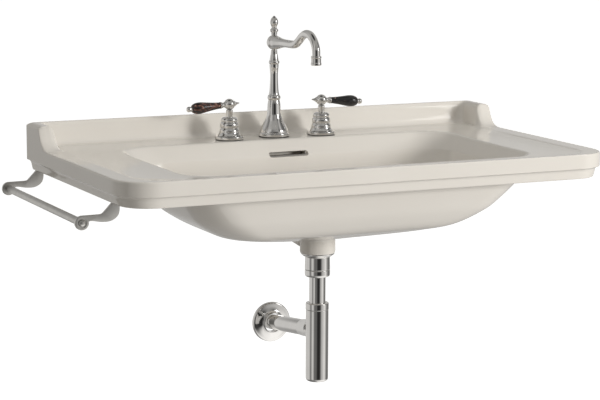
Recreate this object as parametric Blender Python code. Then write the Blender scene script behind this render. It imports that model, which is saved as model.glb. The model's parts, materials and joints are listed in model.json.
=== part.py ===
"""Wall-hung washbasin, 100 cm wide: ceramic, three-hole tap set, waste, bottle trap and towel rail.

Metres, +Z up. The origin is on the wall plane (y = 0) at the middle of the basin's back,
level with the rim's top face. -Y points to the person using it, +X to that person's right
when they face the wall. Nothing lies behind the wall plane.
"""
import math

import bmesh
import bpy
from mathutils import Matrix, Vector

MM = 0.001
GAP = 0.3 * MM              # between pieces that touch

# ---- driving dimensions ----
WIDTH = 1000 * MM           # overall, left to right
DEPTH = 555 * MM            # wall to front edge
SPLASH_HEIGHT = 45 * MM     # upstand above the rim
UPPER_BAND = 28 * MM        # height of the rim's upper band
RIM_HEIGHT = 49 * MM        # both bands together
BAND_STEP = 12 * MM         # the lower band stands this far back
FRONT_RADIUS = 74 * MM      # front corners in plan
SHELL = 14 * MM             # thickness of the ceramic
DRAIN_Y = -281 * MM         # drain axis, on x = 0
TAP_Y = -82 * MM            # line of the two valves
SPOUT_Y = -73 * MM          # the spout stands a little nearer to the wall
TAP_SPACING = 102 * MM      # spout to each valve
SPOUT_REACH = 197 * MM      # column axis to outlet axis
SWIVEL_HEIGHT = 191 * MM    # centre of the spout's ball above the deck
LEVER_HEIGHT = 71 * MM      # centre of a lever's hub above the deck
LEVER_DROOP = math.radians(4.3)
WING_EXTRA = 0.09           # how much thicker the swept ends are than the upstand, as a share of the deck
TRAP_OUTLET_Z = -359 * MM   # outlet branch on the bottle's axis
WALL_PIPE_X = 26 * MM       # where the outlet meets the wall
WALL_PIPE_Z = -401 * MM
RAIL_X = -542 * MM          # towel bar axis
RAIL_Z = -82 * MM
RAIL_FRONT_Y = -446 * MM    # middle of each bracket plate
RAIL_REAR_Y = -14 * MM
STUD_X = 140 * MM           # wall studs, 280 mm apart
STUD_Z = -95 * MM

# ---- basin levels ----
HALF_WIDTH = WIDTH / 2
ARRIS = 7 * MM              # rounding of the rim's top edge
HOLE_RADIUS = 14.5 * MM     # tap holes
DRAIN_RADIUS = 23 * MM      # hole through the drain boss
BOSS_RADIUS = 35 * MM
BOSS_BOTTOM = -203.5 * MM
SEAT_RADIUS = 35.5 * MM     # recess that the waste's flange sits in
SEAT_Z = -159 * MM
DECK_UNDER = -15 * MM       # underside of the deck
SKIRT_INSET = 28 * MM       # inner face of the hanging skirt
PANEL_HALF = 175 * MM       # fixing panel behind the bowl
PANEL_BOTTOM = -130 * MM
PANEL_THICK = 16 * MM

# Rounded rectangles in plan: (z, half width, back y, front y, corner radius) in mm.
BOWL_INSIDE = (
    (-32, 346, -132, -499, 72), (-50, 335, -138, -491, 74), (-72, 318, -150, -477, 76),
    (-97, 290, -167, -458, 76), (-121, 245, -190, -430, 72), (-133, 207, -207, -402, 66),
    (-142, 160, -226, -370, 56), (-148, 105, -238, -343, 46), (-152, 60, -242, -324, 40),
)
BOWL_OUTSIDE = (
    (-49, 350, -122, -507, 78), (-63, 341, -129, -501, 80), (-85, 324, -141, -489, 82),
    (-110, 300, -157, -473, 82), (-137, 255, -180, -447, 78), (-149, 215, -198, -415, 70),
    (-157, 168, -222, -380, 60), (-163, 110, -236, -345, 50), (-166, 60, -240, -326, 42),
)

ROUND = 20                  # sides of the large turned pieces
FINE = 14                   # sides of the small ones


# ---------------------------------------------------------------- helpers

def clear_scene():
    for obj in list(bpy.data.objects):
        bpy.data.objects.remove(obj, do_unlink=True)


def material(name, color, roughness, metallic=0.0):
    mat = bpy.data.materials.new(name)
    mat.use_nodes = True
    shader = mat.node_tree.nodes["Principled BSDF"]
    shader.inputs["Base Color"].default_value = (*color, 1.0)
    shader.inputs["Roughness"].default_value = roughness
    shader.inputs["Metallic"].default_value = metallic
    return mat


FINISHES = {
    "ceramic": ((0.80, 0.77, 0.72), 0.12, 0.0),
    "chrome": ((0.78, 0.77, 0.75), 0.06, 1.0),
    "brass": ((0.70, 0.52, 0.27), 0.3, 1.0),
    "steel": ((0.55, 0.55, 0.56), 0.35, 1.0),
    "rubber": ((0.03, 0.03, 0.03), 0.8, 0.0),
    "brown_resin": ((0.09, 0.04, 0.025), 0.12, 0.0),
    "black_resin": ((0.012, 0.012, 0.014), 0.12, 0.0),
}


def finish_object(name, mesh, finish, smooth_angle=40):
    """Link a mesh as one named piece, with a material of its own."""
    mesh.shade_smooth()
    mesh.set_sharp_from_angle(angle=math.radians(smooth_angle))
    obj = bpy.data.objects.new(name, mesh)
    bpy.context.scene.collection.objects.link(obj)
    mesh.materials.append(material(name, *FINISHES[finish]))
    return obj


def mesh_from(bm, name):
    bmesh.ops.remove_doubles(bm, verts=bm.verts, dist=1e-6)
    bmesh.ops.recalc_face_normals(bm, faces=bm.faces)
    mesh = bpy.data.meshes.new(name)
    bm.to_mesh(mesh)
    bm.free()
    return mesh


def place_along(direction, origin):
    """Matrix that takes local +Z to a direction and the local origin to a point."""
    turn = Vector(direction).normalized().to_track_quat("Z", "Y").to_matrix().to_4x4()
    return Matrix.Translation(Vector(origin)) @ turn


def lathe_mesh(name, profile, sides=ROUND, matrix=None):
    """Turn a profile of (radius, height) in mm about Z; one off the axis is closed into a ring."""
    bm = bmesh.new()
    verts = [bm.verts.new((r * MM, 0, z * MM)) for r, z in profile]
    edges = [bm.edges.new(pair) for pair in zip(verts, verts[1:])]
    if profile[0][0] > 0 or profile[-1][0] > 0:
        edges.append(bm.edges.new((verts[-1], verts[0])))
    bmesh.ops.spin(bm, geom=verts + edges, cent=(0, 0, 0), axis=(0, 0, 1),
                   angle=math.tau, steps=sides, use_merge=True, use_duplicate=False)
    if matrix is not None:
        bmesh.ops.transform(bm, matrix=matrix, verts=bm.verts)
    return mesh_from(bm, name)


def lathe(name, profile, finish, origin=(0, 0, 0), direction=(0, 0, 1), sides=ROUND):
    mesh = lathe_mesh(name, profile, sides, place_along(direction, origin))
    return finish_object(name, mesh, finish)


def hexagon_nut(name, finish, origin, direction, across, height, hole, flange=0.0):
    """A nut whose hole and hexagon share one set of twelve points round each edge."""
    steps = 24
    bm = bmesh.new()
    circumradius = across / math.sqrt(3)

    def ring(radius_at, z):
        points = []
        for step in range(steps):
            angle = math.tau * step / steps
            radius = radius_at(angle)
            points.append(bm.verts.new((radius * math.cos(angle), radius * math.sin(angle), z)))
        return points

    def hexagon(angle):
        return circumradius * math.cos(math.pi / 6) / math.cos(angle % (math.pi / 3) - math.pi / 6)

    rings = [ring(lambda a: hole, 0.0)]
    if flange:
        rings += [ring(lambda a: flange, 0.0), ring(lambda a: flange, 2 * MM)]
        rings += [ring(hexagon, 2.6 * MM)]
    else:
        rings += [ring(hexagon, 0.0)]
    rings += [ring(hexagon, height), ring(lambda a: hole, height)]
    for low, high in zip(rings, rings[1:] + rings[:1]):
        for step in range(steps):
            following = (step + 1) % steps
            bm.faces.new((low[step], low[following], high[following], high[step]))
    bmesh.ops.transform(bm, matrix=place_along(direction, origin), verts=bm.verts)
    return finish_object(name, mesh_from(bm, name), finish, 25)


def pipe_mesh(name, path, outer, inner=0.0, sides=FINE, end_plane_y=None):
    """Sweep a round tube along points; outer is one radius or one for each point."""
    bm = bmesh.new()
    points = [Vector(p) for p in path]
    radii = list(outer) if isinstance(outer, (list, tuple)) else [outer] * len(points)
    normal = None
    outside, inside = [], []
    for index, point in enumerate(points):
        before, after = points[max(index - 1, 0)], points[min(index + 1, len(points) - 1)]
        tangent = (after - before).normalized()
        if normal is None:
            normal = tangent.orthogonal().normalized()
        normal = (normal - tangent * normal.dot(tangent)).normalized()
        binormal = tangent.cross(normal)
        last = index == len(points) - 1
        for rings, radius in ((outside, radii[index]), (inside, inner)):
            ring = []
            for step in range(sides):
                angle = math.tau * step / sides
                spot = point + radius * (math.cos(angle) * normal + math.sin(angle) * binormal)
                if last and end_plane_y is not None:
                    spot += tangent * ((end_plane_y - spot.y) / tangent.y)
                ring.append(bm.verts.new(spot))
                if radius == 0:
                    break
            rings.append(ring)

    def skin(rings):
        for low, high in zip(rings, rings[1:]):
            for step in range(sides):
                following = (step + 1) % sides
                bm.faces.new((low[step], low[following], high[following], high[step]))

    skin(outside)
    if inner > 0:
        skin(inside)
        skin([outside[0], inside[0]])
        skin([outside[-1], inside[-1]])
    else:
        bm.faces.new(outside[0])
        bm.faces.new(outside[-1])
        for ring in inside:
            bm.verts.remove(ring[0])
    return mesh_from(bm, name)


def pipe(name, path, outer, finish, inner=0.0, sides=FINE, end_plane_y=None):
    return finish_object(name, pipe_mesh(name, path, outer, inner, sides, end_plane_y), finish)


def prism_mesh(name, outline, low, high, matrix=None):
    """Extrude a closed outline of (x, y) points from z = low to z = high."""
    bm = bmesh.new()
    face = bm.faces.new([bm.verts.new((x, y, low)) for x, y in outline])
    grown = bmesh.ops.extrude_face_region(bm, geom=[face])["geom"]
    top = [item for item in grown if isinstance(item, bmesh.types.BMVert)]
    bmesh.ops.translate(bm, vec=(0, 0, high - low), verts=top)
    if matrix is not None:
        bmesh.ops.transform(bm, matrix=matrix, verts=bm.verts)
    return mesh_from(bm, name)


def box_mesh(name, low, high):
    outline = ((low[0], low[1]), (high[0], low[1]), (high[0], high[1]), (low[0], high[1]))
    return prism_mesh(name, outline, low[2], high[2])


# Takes an outline drawn as (y, z) and extruded along x to world axes.
SIDE_VIEW = Matrix(((0, 0, 1, 0), (1, 0, 0, 0), (0, 1, 0, 0), (0, 0, 0, 1)))
# Takes an outline drawn as (x, z) and extruded along -y to world axes.
FRONT_VIEW = Matrix(((1, 0, 0, 0), (0, 0, -1, 0), (0, 1, 0, 0), (0, 0, 0, 1)))


def combine(obj, mesh, operation, solver="EXACT"):
    """Join a solid to an object, or cut it away, and keep it as a hidden guide."""
    guide = bpy.data.objects.new(mesh.name, mesh)
    bpy.context.scene.collection.objects.link(guide)
    guide.hide_render = True
    guide.display_type = "WIRE"
    modifier = obj.modifiers.new(mesh.name, "BOOLEAN")
    modifier.operation = operation
    modifier.solver = solver
    modifier.object = guide


def arc(center, radius, start, end, steps):
    """Points of a circular arc in degrees, both ends included."""
    points = []
    for step in range(steps + 1):
        angle = math.radians(start + (end - start) * step / steps)
        points.append((center[0] + radius * math.cos(angle), center[1] + radius * math.sin(angle)))
    return points


# ---------------------------------------------------------------- basin

BACK_STEPS = 8
FRONT_STEPS = 6
BACK_CORNER_STEPS = 4
FRONT_CORNER_STEPS = 5
# Fractions along a side; they crowd where the wing sweeps down to the rim.
SIDE_STOPS = (0.08, 0.155, 0.164, 0.175, 0.19, 0.21, 0.24, 0.29, 0.46, 0.72)


def rounded_outline(half_width, back, front, back_radius, front_radius):
    """A rounded rectangle in plan, always with the same number of points."""
    points = []
    for step in range(BACK_STEPS):
        points.append((-half_width + back_radius + (2 * half_width - 2 * back_radius) * step / BACK_STEPS, back))
    points += arc((half_width - back_radius, back - back_radius), back_radius, 90, 0, BACK_CORNER_STEPS)
    side = (back - back_radius, front + front_radius)
    points += [(half_width, side[0] + (side[1] - side[0]) * stop) for stop in SIDE_STOPS]
    points += arc((half_width - front_radius, front + front_radius), front_radius, 0, -90, FRONT_CORNER_STEPS)
    for step in range(1, FRONT_STEPS):
        points.append((half_width - front_radius - (2 * half_width - 2 * front_radius) * step / FRONT_STEPS, front))
    points += arc((-half_width + front_radius, front + front_radius), front_radius, -90, -180, FRONT_CORNER_STEPS)
    points += [(-half_width, side[0] + (side[1] - side[0]) * stop) for stop in reversed(SIDE_STOPS)]
    points += arc((-half_width + back_radius, back - back_radius), back_radius, 180, 90, BACK_CORNER_STEPS)[:-1]
    return points


def crest(y):
    """Height of the upstand's top: level along the wall, swept down along each end."""
    run = (-y - 77 * MM) / (64 * MM)
    return SPLASH_HEIGHT * (1 - min(max(run, 0.0), 1.0)) ** 4


def outer_ring(inset, z, raised):
    """Outline of the rim's face, with the upstand's height added where raised."""
    corner = max(3 * MM - inset, 0.5 * MM)
    ring = rounded_outline(HALF_WIDTH - inset, -inset, -DEPTH + inset, corner, FRONT_RADIUS - inset)
    return [(x, y, z + (crest(y) if raised else 0.0)) for x, y in ring]


def lower_ring(inset, z):
    """Outline below the upper band: stands back at the front and sides, never at the wall."""
    back = -max(inset - BAND_STEP, 0.0)
    ring = rounded_outline(HALF_WIDTH - inset, back, -DEPTH + inset, 3 * MM, FRONT_RADIUS - inset)
    return [(x, y, z) for x, y in ring]


def deck_ring(t, ridge):
    """Between the rim's rounded edge (t = 0) and the bowl's edge (t = 1)."""
    def mix(a, b):
        return a + (b - a) * t
    sideways = t + WING_EXTRA * math.sin(math.pi * min(t / 0.28, 1.0))
    half_width = HALF_WIDTH - ARRIS + (360 * MM - HALF_WIDTH + ARRIS) * sideways
    ring = rounded_outline(half_width, mix(-ARRIS, -118 * MM),
                           mix(-DEPTH + ARRIS, -512 * MM), mix(0.5 * MM, 70 * MM),
                           mix(FRONT_RADIUS - ARRIS, 70 * MM))
    return [(x, y, ridge * crest(y)) for x, y in ring]


def bowl_ring(z, half_width, back, front, radius):
    ring = rounded_outline(half_width * MM, back * MM, front * MM, radius * MM, radius * MM)
    return [(x, y, z * MM) for x, y in ring]


def drain_ring(radius, z):
    """A circle about the drain, with as many points as the outlines and in step with them."""
    count = len(rounded_outline(1, 0, -1, 0.1, 0.1))
    angles = [math.radians(128) - math.tau * step / count for step in range(count)]
    return [(radius * math.cos(a), DRAIN_Y + radius * math.sin(a), z) for a in angles]


def basin_rings():
    """Closed loop of outlines: up the drain, out over the bowl and rim, back underneath."""
    rings = [drain_ring(DRAIN_RADIUS, BOSS_BOTTOM), drain_ring(DRAIN_RADIUS, SEAT_Z),
             drain_ring(SEAT_RADIUS, SEAT_Z), drain_ring(SEAT_RADIUS, -155 * MM)]
    rings += [bowl_ring(*level) for level in reversed(BOWL_INSIDE)]
    rings += [bowl_ring(-12, 352.5, -125.5, -504.5, 71), bowl_ring(-4, 355.5, -122.5, -507.5, 70.5)]
    for t, ridge in ((1.0, 0.0), (0.28, 0.0), (0.22, 0.06), (0.18, 0.2), (0.125, 0.8), (0.11, 0.94), (0.08, 1.0),
                     (0.0, 1.0)):
        rings.append(deck_ring(t, ridge))
    rings += [outer_ring(2 * MM, -2 * MM, True), outer_ring(0, -ARRIS, True), outer_ring(0, -UPPER_BAND + 2 * MM, False)]
    rings += [lower_ring(1 * MM, -UPPER_BAND), lower_ring(BAND_STEP - 5 * MM, -UPPER_BAND - 3 * MM),
              lower_ring(BAND_STEP - 2.4 * MM, -UPPER_BAND - 8 * MM), lower_ring(BAND_STEP, -RIM_HEIGHT),
              lower_ring(SKIRT_INSET, -RIM_HEIGHT), lower_ring(SKIRT_INSET, DECK_UNDER)]
    rings.append(bowl_ring(-15, 370, -109, -521, 78))
    rings += [bowl_ring(*level) for level in BOWL_OUTSIDE]
    rings += [drain_ring(BOSS_RADIUS + 4 * MM, -168 * MM), drain_ring(BOSS_RADIUS, -172 * MM),
              drain_ring(BOSS_RADIUS, BOSS_BOTTOM)]
    return rings


def basin_shell():
    bm = bmesh.new()
    rings = [[bm.verts.new(point) for point in ring] for ring in basin_rings()]
    count = len(rings[0])
    for low, high in zip(rings, rings[1:] + rings[:1]):
        for step in range(count):
            following = (step + 1) % count
            bm.faces.new((low[step], low[following], high[following], high[step]))
    return finish_object("basin", mesh_from(bm, "basin"), "ceramic", 45)


def side_prism(name, outline_mm, low_x, high_x):
    outline = [(y * MM, z * MM) for y, z in outline_mm]
    return prism_mesh(name, outline, low_x, high_x, SIDE_VIEW)


def add_basin_backing(basin):
    """Fixing panel, its two webs, the overflow duct's housing and the rail's pads."""
    combine(basin, box_mesh("add_panel", (-PANEL_HALF, -PANEL_THICK, PANEL_BOTTOM), (PANEL_HALF, 0, -40 * MM)), "UNION")
    web = ((-12, -10), (-12, -125), (-60, -125), (-158, -102), (-147, -85), (-130, -52), (-114, -10))
    for side in (-1, 1):
        near, far = sorted((side * (PANEL_HALF - 1 * MM), side * (PANEL_HALF - 13 * MM)))
        combine(basin, side_prism(f"add_web_{side}", web, near, far), "UNION")
    combine(basin, box_mesh("add_overflow_top", (-50 * MM, -126 * MM, -52 * MM), (50 * MM, -103 * MM, -10 * MM)), "UNION")
    duct = ((-103.5, -40), (-116, -85), (-138, -125), (-165, -160), (-190, -182), (-215, -193), (-255, -197),
            (-255, -164), (-225, -152), (-195, -141), (-172, -118), (-150, -85), (-128, -40))
    combine(basin, side_prism("add_overflow_duct", duct, -28 * MM, 28 * MM), "UNION")
    for label, y in (("front", RAIL_FRONT_Y), ("rear", RAIL_REAR_Y - 16 * MM)):
        combine(basin, box_mesh(f"add_rail_pad_{label}", (-474 * MM, y - 18 * MM, -RIM_HEIGHT),
                                (-425 * MM, y + 18 * MM, -12 * MM)), "UNION")


OVERFLOW_Z = -27 * MM
OVERFLOW_HALF = 43 * MM
RAIL_SCREW_X = -449 * MM


def slot_outline(half_length, half_height, z):
    """A stadium in (x, z): straight top and bottom, round ends."""
    reach = half_length - half_height
    return arc((reach, z), half_height, -90, 90, 8) + arc((-reach, z), half_height, 90, 270, 8)


def cut_basin(basin):
    """Tap holes, stud holes, overflow way and screw holes."""
    for label, x, y in (("left", -TAP_SPACING, TAP_Y), ("spout", 0.0, SPOUT_Y), ("right", TAP_SPACING, TAP_Y)):
        hole = lathe_mesh(f"cut_tap_{label}", ((0, 20), (14.5, 20), (14.5, -40), (0, -40)), ROUND,
                          Matrix.Translation((x, y, 0)) @ Matrix.Rotation(math.radians(5), 4, "Z"))
        combine(basin, hole, "DIFFERENCE")
    for label, x in (("left", -STUD_X), ("right", STUD_X)):
        hole = lathe_mesh(f"cut_stud_{label}", ((0, 30), (7, 30), (7, -30), (0, -30)), FINE,
                          place_along((0, 1, 0), (x, 0, STUD_Z)))
        combine(basin, hole, "DIFFERENCE")
    mouth = prism_mesh("cut_overflow_mouth", slot_outline(OVERFLOW_HALF, 5 * MM, OVERFLOW_Z), 112 * MM, 140 * MM,
                       FRONT_VIEW)
    combine(basin, mouth, "DIFFERENCE")
    chamber = box_mesh("cut_overflow_chamber", (-44 * MM, -119 * MM, -46 * MM), (44 * MM, -108 * MM, -17 * MM))
    combine(basin, chamber, "DIFFERENCE")
    way = ((-108.4, -40), (-121, -83), (-142, -121.5), (-168, -155), (-191.5, -176.5), (-216, -187), (-275, -191),
           (-275, -181), (-219, -177), (-198, -168), (-175, -147.5), (-151, -117), (-130, -79), (-118.4, -40))
    combine(basin, side_prism("cut_overflow_way", way, -20 * MM, 20 * MM), "DIFFERENCE")
    for label, y in (("front", RAIL_FRONT_Y), ("rear", RAIL_REAR_Y - 16 * MM)):
        hole = lathe_mesh(f"cut_rail_screw_{label}", ((0, -26), (3.4, -26), (3.4, -60), (0, -60)), 12,
                          Matrix.Translation((RAIL_SCREW_X, y, 0)))
        combine(basin, hole, "DIFFERENCE")


def overflow_trim():
    """Chrome lip in the overflow slot: a stadium-shaped ring that lines the mouth."""
    bm = bmesh.new()
    rings = []
    for half, height, y in ((41.2, 3.2, -129), (42.7, 4.7, -129), (42.7, 4.7, -133), (46, 8, -134.2),
                            (46, 8, -136), (41.2, 3.2, -135)):
        outline = slot_outline(half * MM, height * MM, OVERFLOW_Z)
        rings.append([bm.verts.new((x, y * MM, z)) for x, z in outline])
    count = len(rings[0])
    for low, high in zip(rings, rings[1:] + rings[:1]):
        for step in range(count):
            following = (step + 1) % count
            bm.faces.new((low[step], low[following], high[following], high[step]))
    return finish_object("overflow_trim", mesh_from(bm, "overflow_trim"), "chrome")


# ---------------------------------------------------------------- fixings to the wall

def wall_fixing(side, x):
    """Stud, washer and nut that hold the fixing panel to the wall."""
    pipe(f"wall_stud_{side}", ((x, 0, STUD_Z), (x, -42 * MM, STUD_Z)), 6 * MM, "steel", sides=12)
    lathe(f"wall_washer_{side}", ((6.4, 0), (15, 0), (15, 2.5), (6.4, 2.5)), "steel",
          (x, -PANEL_THICK - GAP, STUD_Z), (0, -1, 0), FINE)
    hexagon_nut(f"wall_nut_{side}", "steel", (x, -PANEL_THICK - 3.1 * MM, STUD_Z), (0, -1, 0),
                19 * MM, 10 * MM, 6.4 * MM)


# ---------------------------------------------------------------- spout

def spout_column():
    """Turned column; the pin at its top carries the swivelling ball."""
    profile = ((13, 1.9), (31.5, 1.9), (31.5, 7), (30.4, 8.6), (29, 9.4), (28.4, 14.4), (25, 21.5), (20.8, 29),
               (17.4, 35.5), (15.2, 42.5), (13.8, 53), (13, 66), (11.6, 74), (13.3, 79.7), (10.6, 85), (8.7, 102),
               (7.9, 125.7), (9.3, 142), (9.2, 147), (10.9, 151), (9, 155), (7.9, 163), (6.4, 171), (6.3, 175.4), (5, 175.8),
               (5, 206), (3.2, 206), (3.2, 22), (13, 20))
    lathe("spout_column", profile, "chrome", (0, SPOUT_Y, 0))


def spout_tube():
    """Ball, trumpet and swan neck in one piece, bored for the water and for the column's pin."""
    ball = ((0, 0.6), (7, 0.9), (11.6, 5), (14.4, 10.6), (15, 15), (14.4, 19.4), (11.6, 25), (7, 29.1), (0, 29.4))
    obj = lathe("spout_tube", ball, "chrome", (0, SPOUT_Y, 175.8 * MM))
    reach = SPOUT_REACH
    offsets = ((6, 191), (8.4, 191), (14, 191.1), (20, 191.3), (27, 191.6), (35, 192), (45, 192.6), (56, 193),
               (74, 193.4), (92, 194))
    path = [(0, SPOUT_Y - run * MM, z * MM) for run, z in offsets]
    radii = [radius * MM for radius in (11, 13.4, 13, 12.3, 11, 9.8, 8.7, 8)]
    rise = ((106, 196.5), (119, 203.5), (133, 212.5), (146, 218), (158, 219.5), (171, 217.5), (182, 211.5),
            (190.5, 203), (195.8, 193.5))
    path += [(0, SPOUT_Y - run * MM, z * MM) for run, z in rise]
    path += [(0, SPOUT_Y - reach, 187 * MM), (0, SPOUT_Y - reach, 180 * MM)]
    radii += [8 * MM] * (len(path) - len(radii))
    combine(obj, pipe_mesh("add_swan_neck", path, radii), "UNION")
    inner = [Vector((0, SPOUT_Y, 191 * MM))] + [Vector(p) for p in path[1:]]
    inner.append(Vector((0, SPOUT_Y - reach, 178 * MM)))
    combine(obj, pipe_mesh("cut_waterway", inner, 5.2 * MM, sides=12), "DIFFERENCE")
    bore = lathe_mesh("cut_ball_bore", ((0, 170), (5.35, 170), (5.35, 210), (0, 210)), FINE,
                      Matrix.Translation((0, SPOUT_Y, 0)))
    combine(obj, bore, "DIFFERENCE")
    return obj


def spout():
    """Fixed column with its fixings, swivelling tube, aerator and finial."""
    axis = (0, SPOUT_Y, 0)
    lathe("spout_seal", ((13, 0.3), (31, 0.3), (31, 1.6), (13, 1.6)), "rubber", axis)
    spout_column()
    lathe("spout_shank", ((8, -62), (12.5, -62), (12.5, 18), (8, 18)), "brass", axis, sides=FINE)
    lathe("spout_washer", ((13.1, -17.8), (20, -17.8), (20, -15.3), (13.1, -15.3)), "rubber", axis, sides=FINE)
    hexagon_nut("spout_nut", "brass", (0, SPOUT_Y, -26 * MM), (0, 0, 1), 33 * MM, 7.9 * MM, 12.9 * MM)
    tube = spout_tube()
    outlet = (0, SPOUT_Y - SPOUT_REACH, 0)
    aerator = lathe("aerator", ((6, 161.6), (9.4, 161.6), (10.4, 162.8), (10.4, 166), (9.8, 167.2), (9.8, 176),
                                (10.4, 177.2), (10.4, 178.6), (9.6, 179.7), (6, 179.7)), "chrome", outlet, sides=FINE)
    for piece in (tube, aerator):
        set_origin(piece, (0, SPOUT_Y, SWIVEL_HEIGHT))
    finial = ((0, 206.4), (6.2, 206.4), (6.2, 212), (8, 214), (8.2, 216.5), (6.4, 218.6), (5, 220.5), (6.6, 224.5),
              (8, 229), (8, 233), (6.4, 238), (3.2, 241.6), (1.4, 243.6), (0, 244.6))
    lathe("spout_finial", finial, "chrome", axis, sides=FINE)
    spout_tee()


def spout_tee():
    """Mixing tee below the deck: both link pipes enter it and the shank leaves it."""
    tee = lathe("spout_tee", ((0, -88), (15.5, -88), (15.5, -54), (13.1, -54), (13.1, -65), (6, -65), (6, -76),
                              (0, -76)), "brass", (0, SPOUT_Y, 0), sides=FINE)
    level = (-28 * MM, SPOUT_Y, LINK_Z)
    combine(tee, lathe_mesh("add_tee_barrel", ((0, 0), (9.5, 0), (9.5, 56), (0, 56)), 12,
                            place_along((1, 0, 0), level)), "UNION")
    combine(tee, lathe_mesh("cut_tee_bore", ((0, -2), (5.4, -2), (5.4, 58), (0, 58)), 12,
                            place_along((1, 0, 0), level)), "DIFFERENCE")


LINK_Z = -74 * MM


def set_origin(obj, point):
    """Move an object's origin to a point without moving its surface."""
    shift = Vector(point) - obj.location
    obj.data.transform(Matrix.Translation(-shift))
    obj.location = Vector(point)


# ---------------------------------------------------------------- valves

def valve(side, sign, grip_finish):
    """One tap valve: fixed base, bell and body, with a spindle and lever that turn together."""
    x = sign * TAP_SPACING
    axis = (x, TAP_Y, 0)
    lathe(f"{side}_valve_seal", ((13, 0.3), (28, 0.3), (28, 1.4), (13, 1.4)), "rubber", axis, sides=FINE)
    lathe(f"{side}_valve_base", ((13, 1.7), (29.5, 1.7), (29.5, 6.8), (28.2, 8), (13, 8)), "chrome", axis)
    bell = ((13.2, 8.3), (23.4, 8.3), (23.4, 9.8), (21.4, 12), (20, 15.2), (19.8, 18.4), (19, 21.4), (17.4, 23.8),
            (18.4, 26), (18.5, 31), (17.8, 34), (15.9, 36.4), (16.9, 38.6), (16.8, 41), (15.4, 43.4), (12, 45),
            (7.4, 45.6), (7.4, 42), (13.2, 42))
    lathe(f"{side}_valve_bell", bell, "chrome", axis)
    valve_body(side, sign, axis)
    lathe(f"{side}_valve_washer", ((13.1, -17.8), (22, -17.8), (22, -15.3), (13.1, -15.3)), "rubber", axis, sides=FINE)
    hexagon_nut(f"{side}_valve_nut", "brass", (x, TAP_Y, -27 * MM), (0, 0, 1), 36 * MM, 8.9 * MM, 12.9 * MM)
    spindle = lathe(f"{side}_spindle", ((0, 10), (3.9, 10), (3.9, 40.6), (7, 40.6), (7, 58.8), (6, 60.1), (3.7, 60.1),
                                        (3.7, 73), (0, 73)), "chrome", axis, sides=FINE)
    for piece in [spindle] + lever(side, sign, grip_finish):
        set_origin(piece, (x, TAP_Y, LEVER_HEIGHT))


def valve_body(side, sign, axis):
    """Brass body through the deck, open below for the supply, with a port towards the spout."""
    body = lathe(f"{side}_valve_body", ((6, -104), (10.4, -104), (10.4, -86), (12.5, -85), (12.5, 8), (10, 8),
                                        (10, 40), (4.4, 40), (4.4, -20), (6, -22)), "brass", axis, sides=FINE)
    start = (axis[0], TAP_Y, LINK_Z)
    toward = (-sign, 0, 0)
    combine(body, lathe_mesh(f"add_port_{side}", ((0, 8), (8.6, 8), (8.6, 20), (0, 20)), 12,
                             place_along(toward, start)), "UNION")
    combine(body, lathe_mesh(f"cut_port_{side}", ((0, 3), (5.4, 3), (5.4, 22), (0, 22)), 12,
                             place_along(toward, start)), "DIFFERENCE")


def lever(side, sign, grip_finish):
    """Hub with its point and core rod, chrome collar, resin grip and end cap."""
    centre = (sign * TAP_SPACING, TAP_Y, LEVER_HEIGHT)
    direction = (sign * math.cos(LEVER_DROOP), 0, -math.sin(LEVER_DROOP))
    hub_profile = ((0, -22.5), (1.5, -19.5), (2.6, -16), (5, -12.4), (5.4, -10.4), (8.4, -7.6), (10.7, -3.6),
                   (11.25, 0), (10.7, 3.6), (8.4, 7.6), (5.6, 10.4), (5.2, 14), (5.8, 16), (5.8, 17.4), (2.2, 17.4),
                   (2.2, 81.4), (0, 81.4))
    hub = lathe(f"{side}_lever_hub", hub_profile, "chrome", centre, direction, FINE)
    socket = lathe_mesh(f"cut_socket_{side}", ((0, -20), (4.05, -20), (4.05, 2.4), (0, 2.4)), 12,
                        Matrix.Translation(Vector(centre)))
    combine(hub, socket, "DIFFERENCE")
    collar = lathe(f"{side}_lever_collar", ((2.5, 17.7), (6.6, 17.7), (7, 18.8), (6.6, 20.6), (2.5, 20.6)), "chrome", centre, direction, FINE)
    grip = lathe(f"{side}_lever_grip", ((2.5, 20.9), (6.6, 20.9), (6.8, 26), (7.6, 35), (9, 45), (10.4, 54),
                                        (11.4, 61), (11.7, 67), (11, 73), (9, 78.4), (6.4, 81.4), (2.5, 81.4)),
                 grip_finish, centre, direction, FINE)
    cap = lathe(f"{side}_lever_cap", ((0, 81.7), (5.4, 81.7), (5, 84), (5.6, 86.6), (5, 90), (3, 92), (0, 92.8)),
                "chrome", centre, direction, FINE)
    return [hub, collar, grip, cap]


def link_pipes():
    """Gently bent links under the deck, from the tee to each valve's port."""
    for side, sign in (("left", -1), ("right", 1)):
        path = []
        for run, share in ((9, 0), (32, 0), (42, 0.12), (54, 0.5), (66, 0.88), (76, 1), (93, 1)):
            path.append((sign * run * MM, SPOUT_Y + (TAP_Y - SPOUT_Y) * share, LINK_Z))
        pipe(f"{side}_link_pipe", path, 5 * MM, "chrome", inner=4 * MM, sides=12)


# ---------------------------------------------------------------- waste and trap

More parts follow.
